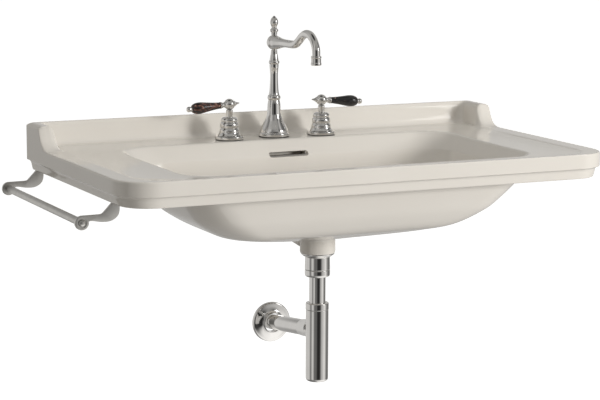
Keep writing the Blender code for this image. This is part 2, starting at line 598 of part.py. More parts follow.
def waste():
    """Waste fitting through the boss, press plug, tapered washer and sleeve."""
    axis = (0, DRAIN_Y, 0)
    fitting = lathe("waste_fitting", ((16.5, -246), (19.6, -246), (19.6, -162), (22.4, -161), (22.4, -158.7),
                                      (34.8, -158.7), (34.8, -157), (30, -155.3), (19, -157), (16.5, -160)),
                    "chrome", axis)
    bar = box_mesh("add_waste_bar", (-17.4 * MM, DRAIN_Y - 2.5 * MM, -180 * MM), (17.4 * MM, DRAIN_Y + 2.5 * MM, -172 * MM))
    combine(fitting, bar, "UNION")
    combine(fitting, lathe_mesh("add_waste_hub", ((0, -181), (8, -181), (8, -171), (0, -171)), FINE,
                                Matrix.Translation(axis)), "UNION")
    combine(fitting, lathe_mesh("cut_waste_hub", ((0, -184), (4.4, -184), (4.4, -168), (0, -168)), 12,
                                Matrix.Translation(axis)), "DIFFERENCE")
    plug = lathe("waste_plug", ((0, -192), (4, -192), (4, -150), (14, -149), (28, -146.6), (29.6, -145.4),
                                (29.4, -143.6), (20, -141.6), (0, -140.6)), "chrome", axis)
    set_origin(plug, (0, DRAIN_Y, -145 * MM))
    lathe("waste_washer", ((20, -211), (26, -211), (33.4, -205.8), (33.4, -203.8), (20, -203.8)), "chrome", axis)
    lathe("waste_sleeve", ((20, -237), (24.2, -237), (25, -236), (24.6, -212.4), (23.8, -211.3), (20, -211.3)),
          "chrome", axis)


OUTLET_VECTOR = Vector((WALL_PIPE_X, -DRAIN_Y, WALL_PIPE_Z - TRAP_OUTLET_Z)).normalized()


def trap():
    """Bottle trap hung on the waste, and the pipe that takes it to the wall."""
    axis = (0, DRAIN_Y, 0)
    lathe("trap_inlet_nut", ((16.6, -251), (22.4, -251), (24.6, -248.6), (25, -240), (24.2, -237.3), (20, -237.3),
                             (20, -246.4), (16.6, -246.4)), "chrome", axis)
    lathe("trap_inlet_tube", ((14.6, -427), (16.2, -427), (16.2, -238), (14.6, -238)), "chrome", axis)
    lathe("trap_cap", ((16.5, -315.4), (22, -315.4), (22, -317), (22.9, -317), (22.9, -305.6), (21.8, -303.6),
                       (16.5, -303.6)), "chrome", axis)
    lathe("trap_seal", ((16.6, -317), (21.7, -317), (21.7, -315.7), (16.6, -315.7)), "rubber", axis)
    trap_bottle(axis)
    start = (0, DRAIN_Y, TRAP_OUTLET_Z)
    lathe("trap_outlet_nut", ((16.2, 30.8), (18.7, 30.8), (18.5, 34), (17.7, 48), (17.2, 64), (16.9, 78),
                              (16.2, 78)), "chrome", start, OUTLET_VECTOR)
    near = Vector(start) + OUTLET_VECTOR * 31 * MM
    wall = (WALL_PIPE_X, 0, WALL_PIPE_Z)
    pipe("trap_outlet_tube", (near, wall), 15.8 * MM, "chrome", inner=14.2 * MM, sides=ROUND, end_plane_y=0.0)
    lathe("wall_flange", ((19.6, 0), (42, 0), (42, 6.4), (40.8, 8.2), (38, 9), (25, 12.4), (21.8, 14.4),
                          (21, 17), (19.6, 17)), "chrome", wall, (0, -1, 0))


def trap_bottle(axis):
    """Cup with a wide branch in its side; the dip tube hangs inside it and makes the water seal."""
    bottle = lathe("trap_bottle", ((0, -461.5), (16.8, -461.3), (20.6, -459.8), (22.5, -456.4), (22.5, -317.3), (0, -317.3)),
                   "chrome", axis)
    start = (0, DRAIN_Y, TRAP_OUTLET_Z)
    branch = ((0, 3), (18.9, 3), (18.7, 30.4), (13.8, 30.4), (13.8, 42), (0, 42))
    combine(bottle, lathe_mesh("add_branch", branch, FINE, place_along(OUTLET_VECTOR, start)), "UNION", "MANIFOLD")
    cavity = ((0, -459.7), (16, -459.5), (19.2, -458), (20.9, -454.6), (20.9, -313), (0, -313))
    combine(bottle, lathe_mesh("cut_bottle", cavity, ROUND, Matrix.Translation(axis)), "DIFFERENCE", "MANIFOLD")
    combine(bottle, lathe_mesh("cut_branch", ((0, 12), (11.8, 12), (11.8, 44), (0, 44)), FINE,
                               place_along(OUTLET_VECTOR, start)), "DIFFERENCE", "MANIFOLD")


# ---------------------------------------------------------------- towel rail

def bracket_outline():
    """Outline in (x, z): down from the rim, out along the arm and round the eye."""
    eye = (RAIL_X, RAIL_Z)
    outer = ((-470.5, -49.4), (-486, -49.4), (-502, -66.2), (-504, -67.8), (-507, -68.6), (-530, -68.9))
    inner = ((-520, -80), (-508, -82.2), (-496, -82.8), (-487, -81.4), (-479.5, -77.6), (-474, -72), (-471.6, -65))
    points = [(x * MM, z * MM) for x, z in outer]
    points += arc(eye, 13 * MM, 90, 371, 15)
    points += [(x * MM, z * MM) for x, z in inner]
    return points


def rail_bracket(label, y, foot_y):
    """Flat cranked plate with a screwed foot under the rim and an eye for the bar's screw."""
    mesh = prism_mesh(f"rail_bracket_{label}", bracket_outline(), -y - 3 * MM, -y + 3 * MM, FRONT_VIEW)
    obj = finish_object(f"rail_bracket_{label}", mesh, "chrome")
    low, high = min(foot_y - 11 * MM, y - 2 * MM), max(foot_y + 11 * MM, y + 2 * MM)
    combine(obj, box_mesh(f"add_foot_{label}", (-474 * MM, low, -54.6 * MM), (-438 * MM, high, -49.4 * MM)), "UNION")
    eye = lathe_mesh(f"cut_eye_{label}", ((0, -8), (3.4, -8), (3.4, 8), (0, 8)), 12,
                     place_along((0, -1, 0), (RAIL_X, y, RAIL_Z)))
    combine(obj, eye, "DIFFERENCE")
    if label == "front":
        recess = lathe_mesh("cut_recess", ((0, 1.6), (9.4, 1.6), (9.4, 6), (0, 6)), FINE,
                            place_along((0, -1, 0), (RAIL_X, y, RAIL_Z)))
        combine(obj, recess, "DIFFERENCE")
    hole = lathe_mesh(f"cut_foot_hole_{label}", ((0, -40), (3.2, -40), (3.2, -60), (0, -60)), 12,
                      Matrix.Translation((RAIL_SCREW_X, foot_y, 0)))
    combine(obj, hole, "DIFFERENCE")
    lathe(f"rail_fixing_screw_{label}", ((0, -58.6), (3.6, -58.4), (5.4, -56.6), (5.6, -54.9), (2.8, -54.9),
                                         (2.8, -27), (0, -27)), "steel", (RAIL_SCREW_X, foot_y, 0), sides=12)


def towel_rail():
    """Two brackets and a bar held by a domed screw at each end."""
    rail_bracket("front", RAIL_FRONT_Y, RAIL_FRONT_Y)
    rail_bracket("rear", RAIL_REAR_Y, RAIL_REAR_Y - 16 * MM)
    front = RAIL_FRONT_Y + 3.3 * MM
    rear = RAIL_REAR_Y - 3.3 * MM
    lathe("rail_bar", ((3.4, 0), (7, 0), (7, (rear - front) / MM), (3.4, (rear - front) / MM)), "chrome",
          (RAIL_X, front, RAIL_Z), (0, 1, 0), FINE)
    screw = ((0, -22), (3, -22), (3, 2.0), (6.2, 2.0), (6.4, 3.4), (5.4, 5), (3, 6.2), (0, 6.6))
    lathe("rail_end_screw_front", screw, "chrome", (RAIL_X, RAIL_FRONT_Y, RAIL_Z), (0, -1, 0), FINE)
    lathe("rail_end_screw_rear", ((0, -22), (3, -22), (3, 3.3), (5.8, 3.3), (5.4, 5.4), (0, 6.4)), "chrome",
          (RAIL_X, RAIL_REAR_Y, RAIL_Z), (0, 1, 0), FINE)


def main():
    clear_scene()
    basin = basin_shell()
    add_basin_backing(basin)
    cut_basin(basin)
    overflow_trim()
    wall_fixing("left", -STUD_X)
    wall_fixing("right", STUD_X)
    spout()
    valve("left", -1, "brown_resin")
    valve("right", 1, "black_resin")
    link_pipes()
    waste()
    trap()
    towel_rail()


main()
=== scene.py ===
"""Looks for the wall-hung washbasin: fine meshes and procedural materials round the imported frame."""
import json
import math

import bmesh
import bpy
from mathutils import Matrix, Vector

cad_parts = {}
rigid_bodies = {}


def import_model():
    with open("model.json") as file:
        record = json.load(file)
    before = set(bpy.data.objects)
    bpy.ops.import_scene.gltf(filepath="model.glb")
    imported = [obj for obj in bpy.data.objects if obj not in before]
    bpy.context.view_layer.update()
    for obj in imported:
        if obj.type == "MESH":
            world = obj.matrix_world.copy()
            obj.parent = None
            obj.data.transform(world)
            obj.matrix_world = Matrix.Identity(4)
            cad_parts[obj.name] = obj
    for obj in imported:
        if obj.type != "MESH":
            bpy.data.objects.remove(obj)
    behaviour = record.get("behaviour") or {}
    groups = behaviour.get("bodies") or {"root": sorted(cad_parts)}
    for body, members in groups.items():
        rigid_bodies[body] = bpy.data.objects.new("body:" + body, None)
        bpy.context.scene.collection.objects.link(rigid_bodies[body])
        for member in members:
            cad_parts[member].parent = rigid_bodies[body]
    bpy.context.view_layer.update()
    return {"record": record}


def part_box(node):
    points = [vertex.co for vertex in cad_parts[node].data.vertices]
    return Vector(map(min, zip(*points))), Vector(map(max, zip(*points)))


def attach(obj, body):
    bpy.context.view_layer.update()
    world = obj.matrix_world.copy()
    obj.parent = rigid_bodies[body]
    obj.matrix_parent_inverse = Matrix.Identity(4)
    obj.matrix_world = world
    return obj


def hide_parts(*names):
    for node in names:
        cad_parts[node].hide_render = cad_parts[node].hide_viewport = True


MM = 0.001

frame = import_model()


# ---- places read from the frame

def centre_of(node):
    low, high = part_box(node)
    return (low + high) / 2


def axis_of(node):
    """Vertical axis of a turned node, as (x, y, 0)."""
    middle = centre_of(node)
    return Vector((middle.x, middle.y, 0))


BODY_OF = {node: body for body, nodes in frame["record"]["behaviour"]["bodies"].items() for node in nodes}
RIM_LOW, RIM_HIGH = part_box("basin")
HALF_WIDTH = RIM_HIGH.x
DEPTH = -RIM_LOW.y
SPLASH_HEIGHT = RIM_HIGH.z
SPOUT_AXIS = axis_of("spout_column")
DRAIN_AXIS = axis_of("waste_sleeve")
OVERFLOW = centre_of("overflow_trim")
RAIL = centre_of("rail_bar")
WALL_PIPE = centre_of("wall_flange")


# ---- mesh helpers

def smooth_run(points, steps=6):
    """Catmull-Rom curve through points of any dimension, ends included."""
    if len(points) < 3:
        return [tuple(p) for p in points]
    padded = [points[0], *points, points[-1]]
    result = []
    for before, start, end, after in zip(padded, padded[1:], padded[2:], padded[3:]):
        for step in range(steps):
            t = step / steps
            weights = ((-t + 2 * t ** 2 - t ** 3) / 2, (2 - 5 * t ** 2 + 3 * t ** 3) / 2,
                       (t + 4 * t ** 2 - 3 * t ** 3) / 2, (-t ** 2 + t ** 3) / 2)
            result.append(tuple(sum(w * v for w, v in zip(weights, values))
                                for values in zip(before, start, end, after)))
    result.append(tuple(points[-1]))
    return result


def mix(a, b, t):
    return tuple(x + (y - x) * t for x, y in zip(a, b))


def rounded_path(runs, radius, steps=6, corner_steps=3):
    """Join smooth runs end to end; each joint between two runs becomes a small round corner.

    radius is one length for every corner, or one for each corner in turn."""
    curves = [smooth_run(run, steps) for run in runs]
    radii = radius if isinstance(radius, (list, tuple)) else [radius] * len(runs)
    path = list(curves[0])
    for curve, radius in zip(curves[1:], radii):
        corner = path[-1]
        start = trimmed(path[::-1], radius)
        finish = trimmed(curve, radius)
        path = path[:len(path) - start[1]]
        for step in range(corner_steps + 1):
            t = step / corner_steps
            path.append(mix(mix(start[0], corner, t), mix(corner, finish[0], t), t))
        path += curve[finish[1]:]
    return path


def trimmed(curve, length):
    """Point a given length along a curve, and the number of points it passes (never the last)."""
    left = length
    for index, (a, b) in enumerate(zip(curve, curve[1:])):
        span = math.dist(a, b)
        if left < span * 0.9:
            return mix(a, b, left / span), index + 1
        if index == len(curve) - 2:
            return mix(a, b, 0.5), index + 1
        left -= span
    return curve[0], 1


def place_along(direction, origin):
    turn = Vector(direction).normalized().to_track_quat("Z", "Y").to_matrix().to_4x4()
    return Matrix.Translation(Vector(origin)) @ turn


def grid_mesh(name, rings, close_ends=True, loop=False):
    """Skin rings of equal length; close_ends fans each open end to a centre point."""
    count = len(rings[0])
    points = [tuple(p) for ring in rings for p in ring]
    pairs = list(zip(range(len(rings)), range(1, len(rings))))
    if loop:
        pairs.append((len(rings) - 1, 0))
    faces = []
    for low, high in pairs:
        for step in range(count):
            following = (step + 1) % count
            faces.append((low * count + step, low * count + following, high * count + following,
                          high * count + step))
    if close_ends and not loop:
        for ring_index in (0, len(rings) - 1):
            ring = rings[ring_index]
            points.append(tuple(sum(c) / count for c in zip(*ring)))
            hub = len(points) - 1
            for step in range(count):
                faces.append((hub, ring_index * count + step, ring_index * count + (step + 1) % count))
    mesh = bpy.data.meshes.new(name)
    mesh.from_pydata(points, [], faces)
    bm = bmesh.new()
    bm.from_mesh(mesh)
    bmesh.ops.remove_doubles(bm, verts=bm.verts, dist=1e-6)
    bmesh.ops.recalc_face_normals(bm, faces=bm.faces)
    bm.to_mesh(mesh)
    bm.free()
    return mesh


def show(node, mesh, material, sharp=50):
    """Link a mesh as the piece that stands for a CAD node, on that node's body."""
    mesh.shade_smooth()
    mesh.set_sharp_from_angle(angle=math.radians(sharp))
    mesh.materials.clear()
    mesh.materials.append(material)
    obj = bpy.data.objects.new(f"{node}_surface", mesh)
    bpy.context.scene.collection.objects.link(obj)
    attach(obj, BODY_OF[node])
    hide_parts(node)
    return obj


def turned_mesh(name, path, matrix, sides):
    """Turn a path of (radius, height) about Z; a path that doesn't touch the axis closes on itself."""
    rings = []
    for radius, height in path:
        radius = max(radius, 1e-4)
        ring = []
        for step in range(sides):
            angle = math.tau * step / sides
            ring.append(matrix @ Vector((radius * math.cos(angle) * MM, radius * math.sin(angle) * MM,
                                        height * MM)))
        rings.append(ring)
    on_axis = path[0][0] < 0.01 and path[-1][0] < 0.01
    return grid_mesh(name, rings, close_ends=on_axis, loop=not on_axis)


def runs_of(profile):
    """Split a profile at its crisp corners, the points that carry a third value."""
    runs = [[]]
    for index, point in enumerate(profile):
        runs[-1].append(tuple(point[:2]))
        if len(point) == 3 and 0 < index < len(profile) - 1:
            runs.append([tuple(point[:2])])
    return runs


def turned(profile, origin=(0, 0, 0), direction=(0, 0, 1), sides=96, radius=0.35, steps=6):
    """Turn a profile of (radius, height) in mm about an axis; third values mark crisp corners."""
    if profile[0][0] > 0.01:
        profile = (*profile, profile[0])
    path = rounded_path(runs_of(profile), radius, steps)
    if path[0][0] > 0.01:
        path = path[:-1]
    return turned_mesh("turned", path, place_along(direction, origin), sides)


def swept_mesh(path, radii, sides=48):
    """Round tube along a path of world points, closed at both ends."""
    points = [Vector(p) for p in path]
    normal = None
    rings = []
    for index, point in enumerate(points):
        before, after = points[max(index - 1, 0)], points[min(index + 1, len(points) - 1)]
        tangent = (after - before).normalized()
        if normal is None:
            normal = tangent.orthogonal().normalized()
        normal = (normal - tangent * normal.dot(tangent)).normalized()
        binormal = tangent.cross(normal)
        rings.append([point + radii[index] * (math.cos(math.tau * step / sides) * normal
                                              + math.sin(math.tau * step / sides) * binormal)
                      for step in range(sides)])
    return grid_mesh("swept", rings)


def combined(mesh, tools, operation):
    """The mesh after a boolean with a list of closed meshes."""
    scene = bpy.context.scene
    group = bpy.data.collections.new("tools")
    scene.collection.children.link(group)
    for tool in tools:
        group.objects.link(bpy.data.objects.new("tool", tool))
    base = bpy.data.objects.new("base", mesh)
    scene.collection.objects.link(base)
    modifier = base.modifiers.new("combine", "BOOLEAN")
    modifier.operation = operation
    modifier.solver = "MANIFOLD"
    modifier.operand_type = "COLLECTION"
    modifier.collection = group
    result = bpy.data.meshes.new_from_object(base.evaluated_get(bpy.context.evaluated_depsgraph_get()))
    for obj in [base, *group.objects]:
        bpy.data.objects.remove(obj, do_unlink=True)
    bpy.data.collections.remove(group)
    return result


def prism(outline, low, high, bevel, matrix):
    """Extrude a closed outline of (x, y) points from z = low to z = high, with rounded edges."""
    bm = bmesh.new()
    face = bm.faces.new([bm.verts.new((x, y, low)) for x, y in outline])
    grown = bmesh.ops.extrude_face_region(bm, geom=[face])["geom"]
    top = [item for item in grown if isinstance(item, bmesh.types.BMVert)]
    bmesh.ops.translate(bm, vec=(0, 0, high - low), verts=top)
    bmesh.ops.recalc_face_normals(bm, faces=bm.faces)
    if bevel:
        crisp = [edge for edge in bm.edges if edge.calc_face_angle(0) > math.radians(35)]
        bmesh.ops.bevel(bm, geom=crisp, offset=bevel, segments=4, profile=0.5, affect="EDGES",
                        clamp_overlap=True)
    bmesh.ops.transform(bm, matrix=matrix, verts=bm.verts)
    bmesh.ops.recalc_face_normals(bm, faces=bm.faces)
    mesh = bpy.data.meshes.new("prism")
    bm.to_mesh(mesh)
    bm.free()
    return mesh


# Takes an outline drawn as (y, z) and extruded along x to world axes.
SIDE_VIEW = Matrix(((0, 0, 1, 0), (1, 0, 0, 0), (0, 1, 0, 0), (0, 0, 0, 1)))
# Takes an outline drawn as (x, z) and extruded along -y to world axes.
FRONT_VIEW = Matrix(((1, 0, 0, 0), (0, 0, -1, 0), (0, 1, 0, 0), (0, 0, 0, 1)))


def block(low, high, bevel):
    """Box between two corners in mm, with rounded edges."""
    low, high = Vector(low) * MM, Vector(high) * MM
    outline = ((low.x, low.y), (high.x, low.y), (high.x, high.y), (low.x, high.y))
    return prism(outline, low.z, high.z, bevel * MM, Matrix.Identity(4))


def side_prism(outline, low_x, high_x, bevel):
    return prism([(y * MM, z * MM) for y, z in outline], low_x * MM, high_x * MM, bevel * MM, SIDE_VIEW)


def arc(center, radius, start, end, steps):
    """Points of a circular arc in degrees, both ends included."""
    angles = [math.radians(start + (end - start) * step / steps) for step in range(steps + 1)]
    return [(center[0] + radius * math.cos(angle),
             center[1] + radius * math.sin(angle)) for angle in angles]


def stadium(half_length, half_height, z, steps=16):
    """Outline in (x, z) with straight top and bottom and round ends."""
    reach = half_length - half_height
    return arc((reach, z), half_height, -90, 90, steps) + arc((-reach, z), half_height, 90, 270, steps)


# ---- ceramic body

# Points round one outline: each side, each corner, and the crowded stretch by the wing's sweep.
ACROSS = 64
ALONG_WING = 48
ALONG_REST = 18
PER_CORNER = 16
WING_LENGTH = 150           # mm of each side where the wing sweeps down
CREST_START = 77            # mm from the wall to where the sweep starts
CREST_RUN = 64
RIDGE = SPLASH_HEIGHT / MM
RIM_BOTTOM = -49
WING_EXTRA = 0.09           # the swept ends are this much thicker than the upstand, as a share of the deck


def corner_points(centre_x, centre_y, radius, start):
    """Quarter of a soft-cornered square: its curvature fades in and out, as in slip-cast ware."""
    points = []
    for step in range(PER_CORNER):
        angle = math.radians(90 * step / PER_CORNER)
        cosine, sine = math.cos(angle) ** 0.9, math.sin(angle) ** 0.9
        turn = math.radians(start)
        x = cosine * math.cos(turn) + sine * math.sin(turn)
        y = cosine * math.sin(turn) - sine * math.cos(turn)
        points.append((centre_x + radius * x, centre_y + radius * y))
    return points


def straight(start, finish, stops):
    return [mix(start, finish, stop) for stop in stops]


def rectangle_outline(half, back, front, back_radius, front_radius):
    """Rounded rectangle, clockwise from the back left corner, always with the same number of points."""
    even = [step / ACROSS for step in range(ACROSS)]
    side_length = max((back - back_radius) - (front + front_radius), 1.0)
    crowded = min(WING_LENGTH, side_length * 0.45) / side_length
    stops = [crowded * step / ALONG_WING for step in range(ALONG_WING)]
    stops += [crowded + (1 - crowded) * step / ALONG_REST for step in range(ALONG_REST)]
    upper, lower = back - back_radius, front + front_radius
    points = straight((-half + back_radius, back), (half - back_radius, back), even)
    points += corner_points(half - back_radius, upper, back_radius, 90)
    points += straight((half, upper), (half, lower), stops)
    points += corner_points(half - front_radius, lower, front_radius, 0)
    points += straight((half - front_radius, front), (-half + front_radius, front), even)
    points += corner_points(-half + front_radius, lower, front_radius, -90)
    points += straight((-half, lower), (-half, upper), [0.0] + [1 - stop for stop in reversed(stops[1:])])
    points += corner_points(-half + back_radius, upper, back_radius, 180)
    return points


def crest(y):
    """Height of the upstand above the rim at a distance from the wall: level, then swept down."""
    run = min(max((-y - CREST_START) / CREST_RUN, 0.0), 1.0)
    return (1 - run) ** 4 if run > 0 else 1.0


def dish_share(y):
    """The deck is level behind the bowl, where the taps stand, and dished along the other sides."""
    t = min(max((-y - 125) / 130, 0.0), 1.0)
    return t * t * (3 - 2 * t)


def row(half, back, front, back_radius, front_radius, z, ridge=0.0, circle=0.0, dish=0.0):
    """One outline of the body: ridge raises it by the upstand's height, circle rounds it."""
    return (half, back, front, back_radius, front_radius, z, ridge * RIDGE, circle * 30, dish)


def ring_points(values):
    half, back, front, back_radius, front_radius, z, ridge, circle, dish = values
    outline = rectangle_outline(half, back, front, max(back_radius, 0.3), max(front_radius, 0.3))
    share = circle / 30
    points = []
    for index, (x, y) in enumerate(outline):
        if share > 0:
            angle = math.tau * (CIRCLE_START - index / len(outline))
            middle = (back + front) / 2
            round_x, round_y = half * math.cos(angle), middle + half * math.sin(angle)
            x, y = x + (round_x - x) * share, y + (round_y - y) * share
        points.append((x * MM, y * MM, (z + ridge * crest(y) - dish * dish_share(y)) * MM))
    return points


BOWL_LIP = (360, -118, -512, 72, 64)    # mm: half width, back, front and the two corner radii
OUTLINE_COUNT = 2 * (ACROSS + ALONG_WING + ALONG_REST + 2 * PER_CORNER)
CIRCLE_START = 0.25 + ACROSS / 2 / OUTLINE_COUNT


def ceramic_rows():
    """Runs of outlines, from the boss up the drain, over the bowl, deck and rim, and back underneath."""
    width, depth = HALF_WIDTH / MM, DEPTH / MM
    drain = DRAIN_AXIS.y / MM

    def disc(radius, z):
        return row(radius, drain + radius, drain - radius, radius, radius, z, circle=1.0)

    def deck(t, z=0.0, ridge=0.0, dish=0.0):
        edge, lip = (width, 0, -depth, 3, 74), BOWL_LIP
        half, *rest = mix(edge, lip, t)
        half += (BOWL_LIP[0] - width) * WING_EXTRA * math.sin(math.pi * min(t / 0.28, 1.0))
        return row(half, *rest, z, ridge=ridge, dish=dish)

    def band(inset, z, ridge=0.0):
        return row(width - inset, -max(inset - 12, 0), -depth + inset, 3, 74 - inset, z, ridge=ridge)

    boss_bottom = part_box("waste_washer")[1].z / MM
    crease = row(338, -149, -500, 76, 66, -30)
    runs = [
        ([disc(23, boss_bottom), disc(23, -159)], 1),
        ([disc(23, -159), disc(35.5, -159)], 1),
        ([disc(35.5, -159), disc(35.5, -155.4)], 1.2),
        ([disc(35.5, -155.4), row(62, -240, -325, 40, 40, -152.6, circle=0.8),
          row(105, -236, -345, 50, 50, -149, circle=0.4), row(160, -226, -374, 60, 60, -143, circle=0.12),
          row(207, -212, -404, 68, 68, -134), row(250, -196, -431, 74, 70, -120),
          row(292, -176, -461, 78, 70, -97),
          row(317, -162, -481, 78, 68, -72), row(330, -154, -492, 77, 67, -50), crease], 3),
        ([crease, row(*BOWL_LIP, 0, dish=2.4)], 7),
        ([row(*BOWL_LIP, 0, dish=2.4), deck(0.85, dish=2.9), deck(0.6, dish=2.8), deck(0.4, dish=1.8),
          deck(0.3, dish=1.0), deck(0.25, ridge=0.02, dish=0.7), deck(0.22, ridge=0.06, dish=0.4),
          deck(0.19, ridge=0.16, dish=0.2), deck(0.165, ridge=0.36), deck(0.14, ridge=0.66),
          deck(0.12, ridge=0.86),
          deck(0.09, ridge=1.0)], 4),
        ([deck(0.09, ridge=1.0), deck(0.06, ridge=1.0), deck(0.03, ridge=0.985), deck(0.0, ridge=0.9)],
         4.5),
        ([deck(0.0, ridge=0.9), band(0, -12, ridge=0.9), band(0, -27.6)], 2),
        ([band(0, -27.6), band(3.4, -29), band(6.6, -31), band(8.6, -34.6), band(9.8, -39.6), band(11, -45),
          band(12, -49)], 3),
        ([band(12, -49), band(28, -49)], 3),
        ([band(28, -49), band(28, -15)], 4),
        ([band(28, -15), row(372, -108, -522, 80, 78, -15)], 8),
        ([row(372, -108, -522, 80, 78, -15), row(350, -122, -507, 78, 76, -49),
          row(341, -129, -501, 80, 78, -63),
          row(324, -141, -489, 82, 80, -85), row(300, -157, -473, 82, 80, -110),
          row(255, -180, -447, 78, 78, -137),
          row(215, -198, -415, 70, 70, -149), row(168, -222, -380, 60, 60, -157, circle=0.12),
          row(110, -236, -345, 50, 50, -163, circle=0.4), row(66, -243, -326, 40, 40, -167, circle=0.8),
          disc(39, -171)], 4),
        ([disc(39, -171), disc(35, -176), disc(34.8, -190), disc(35, boss_bottom)], 5),
        ([disc(35, boss_bottom), disc(23, boss_bottom)], 1),
    ]
    return [run for run, _ in runs], [radius for _, radius in runs]


SLOT_Z = OVERFLOW.z / MM
SLOT_HALF = 43


def backing():
    """Cast-on parts: fixing panel and webs, overflow housing and duct, towel rail pads."""
    parts = [block((-175, -16, -130), (175, 0, -40), 4)]
    web = ((-12, -10), (-12, -125), (-60, -125), (-158, -102), (-147, -85), (-130, -52), (-114, -10))
    for low_x in (-174, 162):
        parts.append(side_prism(web, low_x, low_x + 12, 2.5))
    parts.append(block((-50, -126, -52), (50, -103, -10), 5))
    duct = ((-103.5, -40), (-116, -85), (-138, -125), (-165, -160), (-190, -182), (-215, -193),
            (-255, -197),
            (-255, -164), (-225, -152), (-195, -141), (-172, -118), (-150, -85), (-128, -40))
    parts.append(side_prism(duct, -28, 28, 7))
    for screw in ("front", "rear"):
        y = centre_of(f"rail_fixing_screw_{screw}").y / MM
        parts.append(block((-474, y - 18, RIM_BOTTOM + 0.4), (-425, y + 18, -12), 2))
    return parts


def openings():
    """Tap holes, stud holes, and the overflow's mouth with the chamber behind it."""
    parts = []
    for column in ("spout_column", "left_valve_bell", "right_valve_bell"):
        parts.append(turned(((0, 20), (14.5, 20, 1), (14.5, -40, 1), (0, -40)), axis_of(column), steps=1))
    for side in ("left", "right"):
        stud = centre_of(f"wall_stud_{side}")
        parts.append(turned(((0, 30), (7, 30, 1), (7, -30, 1), (0, -30)), (stud.x, 0, stud.z), (0, 1, 0),
                            48))
    mouth = [(x * MM, z * MM) for x, z in stadium(SLOT_HALF, 5, SLOT_Z)]
    parts.append(prism(mouth, 112 * MM, 150 * MM, 0, FRONT_VIEW))
    parts.append(block((-44, -119, -46), (44, -108, -17), 1))
    return parts


def ceramic_body(material):
    runs, radii = ceramic_rows()
    path = rounded_path(runs, radii[:-1], steps=5, corner_steps=5)
    mesh = grid_mesh("basin", [ring_points(values) for values in path[:-1]], loop=True)
    mesh = combined(mesh, backing(), "UNION")
    mesh = combined(mesh, openings(), "DIFFERENCE")
    return show("basin", mesh, material, sharp=42)


def overflow_trim(material):
    """Chrome lip in the overflow slot: a stadium-shaped ring that lines the mouth."""
    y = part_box("overflow_trim")[0].y / MM
    section = ((40.8, 2.8, 7), (42.7, 4.7, 7), (42.7, 4.7, 3.2), (45.7, 7.7, 1.9), (46, 8, 1.2),
               (45.6, 7.6, 0.4),
               (44.6, 6.6, 0.0), (43, 5, 0.1), (41.6, 3.6, 0.6), (40.8, 2.8, 1.8))
    rings = []
    for half, height, depth in section:
        rings.append([(x * MM, (y + depth) * MM, z * MM) for x, z in stadium(half, height, SLOT_Z, 24)])
    show("overflow_trim", grid_mesh("overflow_trim", rings, loop=True), material, sharp=60)


# ---- spout

def spout_column(material):
    profile = ((13, 1.9, 1), (31.2, 1.9, 1), (31.5, 3), (31.5, 6.4, 1), (30.9, 7.8), (29.6, 8.6, 1),
               (29, 9.4, 1),
               (28.8, 11.6), (27.8, 15.6), (24.8, 21.6),
               (20.8, 29), (17.5, 35.6), (15.2, 42.5), (14.2, 47.5), (13.75, 53), (13.4, 60), (13, 66),
               (12.2, 71),
               (11.4, 74.6, 1), (12.7, 76.2), (13.3, 79.4), (12.7, 82.6), (11, 84.6, 1), (10.3, 87),
               (9.3, 94),
               (8.7, 102), (8.1, 114), (7.9, 125.7), (8.4, 134), (9.2, 142), (9.2, 147.4, 1), (10.5, 148.9),
               (10.9, 151), (10.4, 153.2), (9, 154.6, 1), (8.6, 158), (7.7, 163.4), (6.8, 168.6),
               (6.3, 175.4, 1),
               (5, 175.8, 1), (5, 206, 1), (3.2, 206, 1), (3.2, 22, 1), (13, 20, 1))
    show("spout_column", turned(profile, SPOUT_AXIS), material)


BALL_Z = 191


def spout_tube(material):
    """Ball, trumpet and swan neck, in the plane of the outlet."""
    ball = [(15 * math.sin(math.radians(angle)), BALL_Z - 15 * math.cos(math.radians(angle)))
            for angle in range(20, 161, 10)]
    ball = ((0, BALL_Z - 14.6), (3, BALL_Z - 14.6), *ball, (3, BALL_Z + 14.6), (0, BALL_Z + 14.6))
    mesh = turned(ball, SPOUT_AXIS, steps=3)
    route = ((4, 191), (7, 191), (8.2, 191), (9.6, 191), (11.6, 191), (14, 191.1), (17, 191.2), (20, 191.3),
             (27, 191.6), (35, 192), (45, 192.6), (56, 193), (64, 193.2), (74, 193.4), (92, 194),
             (106, 196.5),
             (119, 203.5), (133, 212.5), (146, 218), (158, 219.5), (171, 217.5), (182, 211.5), (190.5, 203),
             (195.8, 193.5), (197, 186), (197, 179.9))
    radii = (12, 12.8, 13.7, 13.4, 13.1, 13, 12.7, 12.3, 11, 9.8, 8.7, 8.05)
    points = [(run, z, radius) for (run, z),
              radius in zip(route, [*radii, *[8] * (len(route) - len(radii))])]
    curve = smooth_run(points, 6)
    neck = swept_mesh([(0, SPOUT_AXIS.y - run * MM, z * MM) for run, z, _ in curve],
                      [radius * MM for _, _, radius in curve], 64)
    show("spout_tube", combined(mesh, [neck], "UNION"), material, sharp=48)


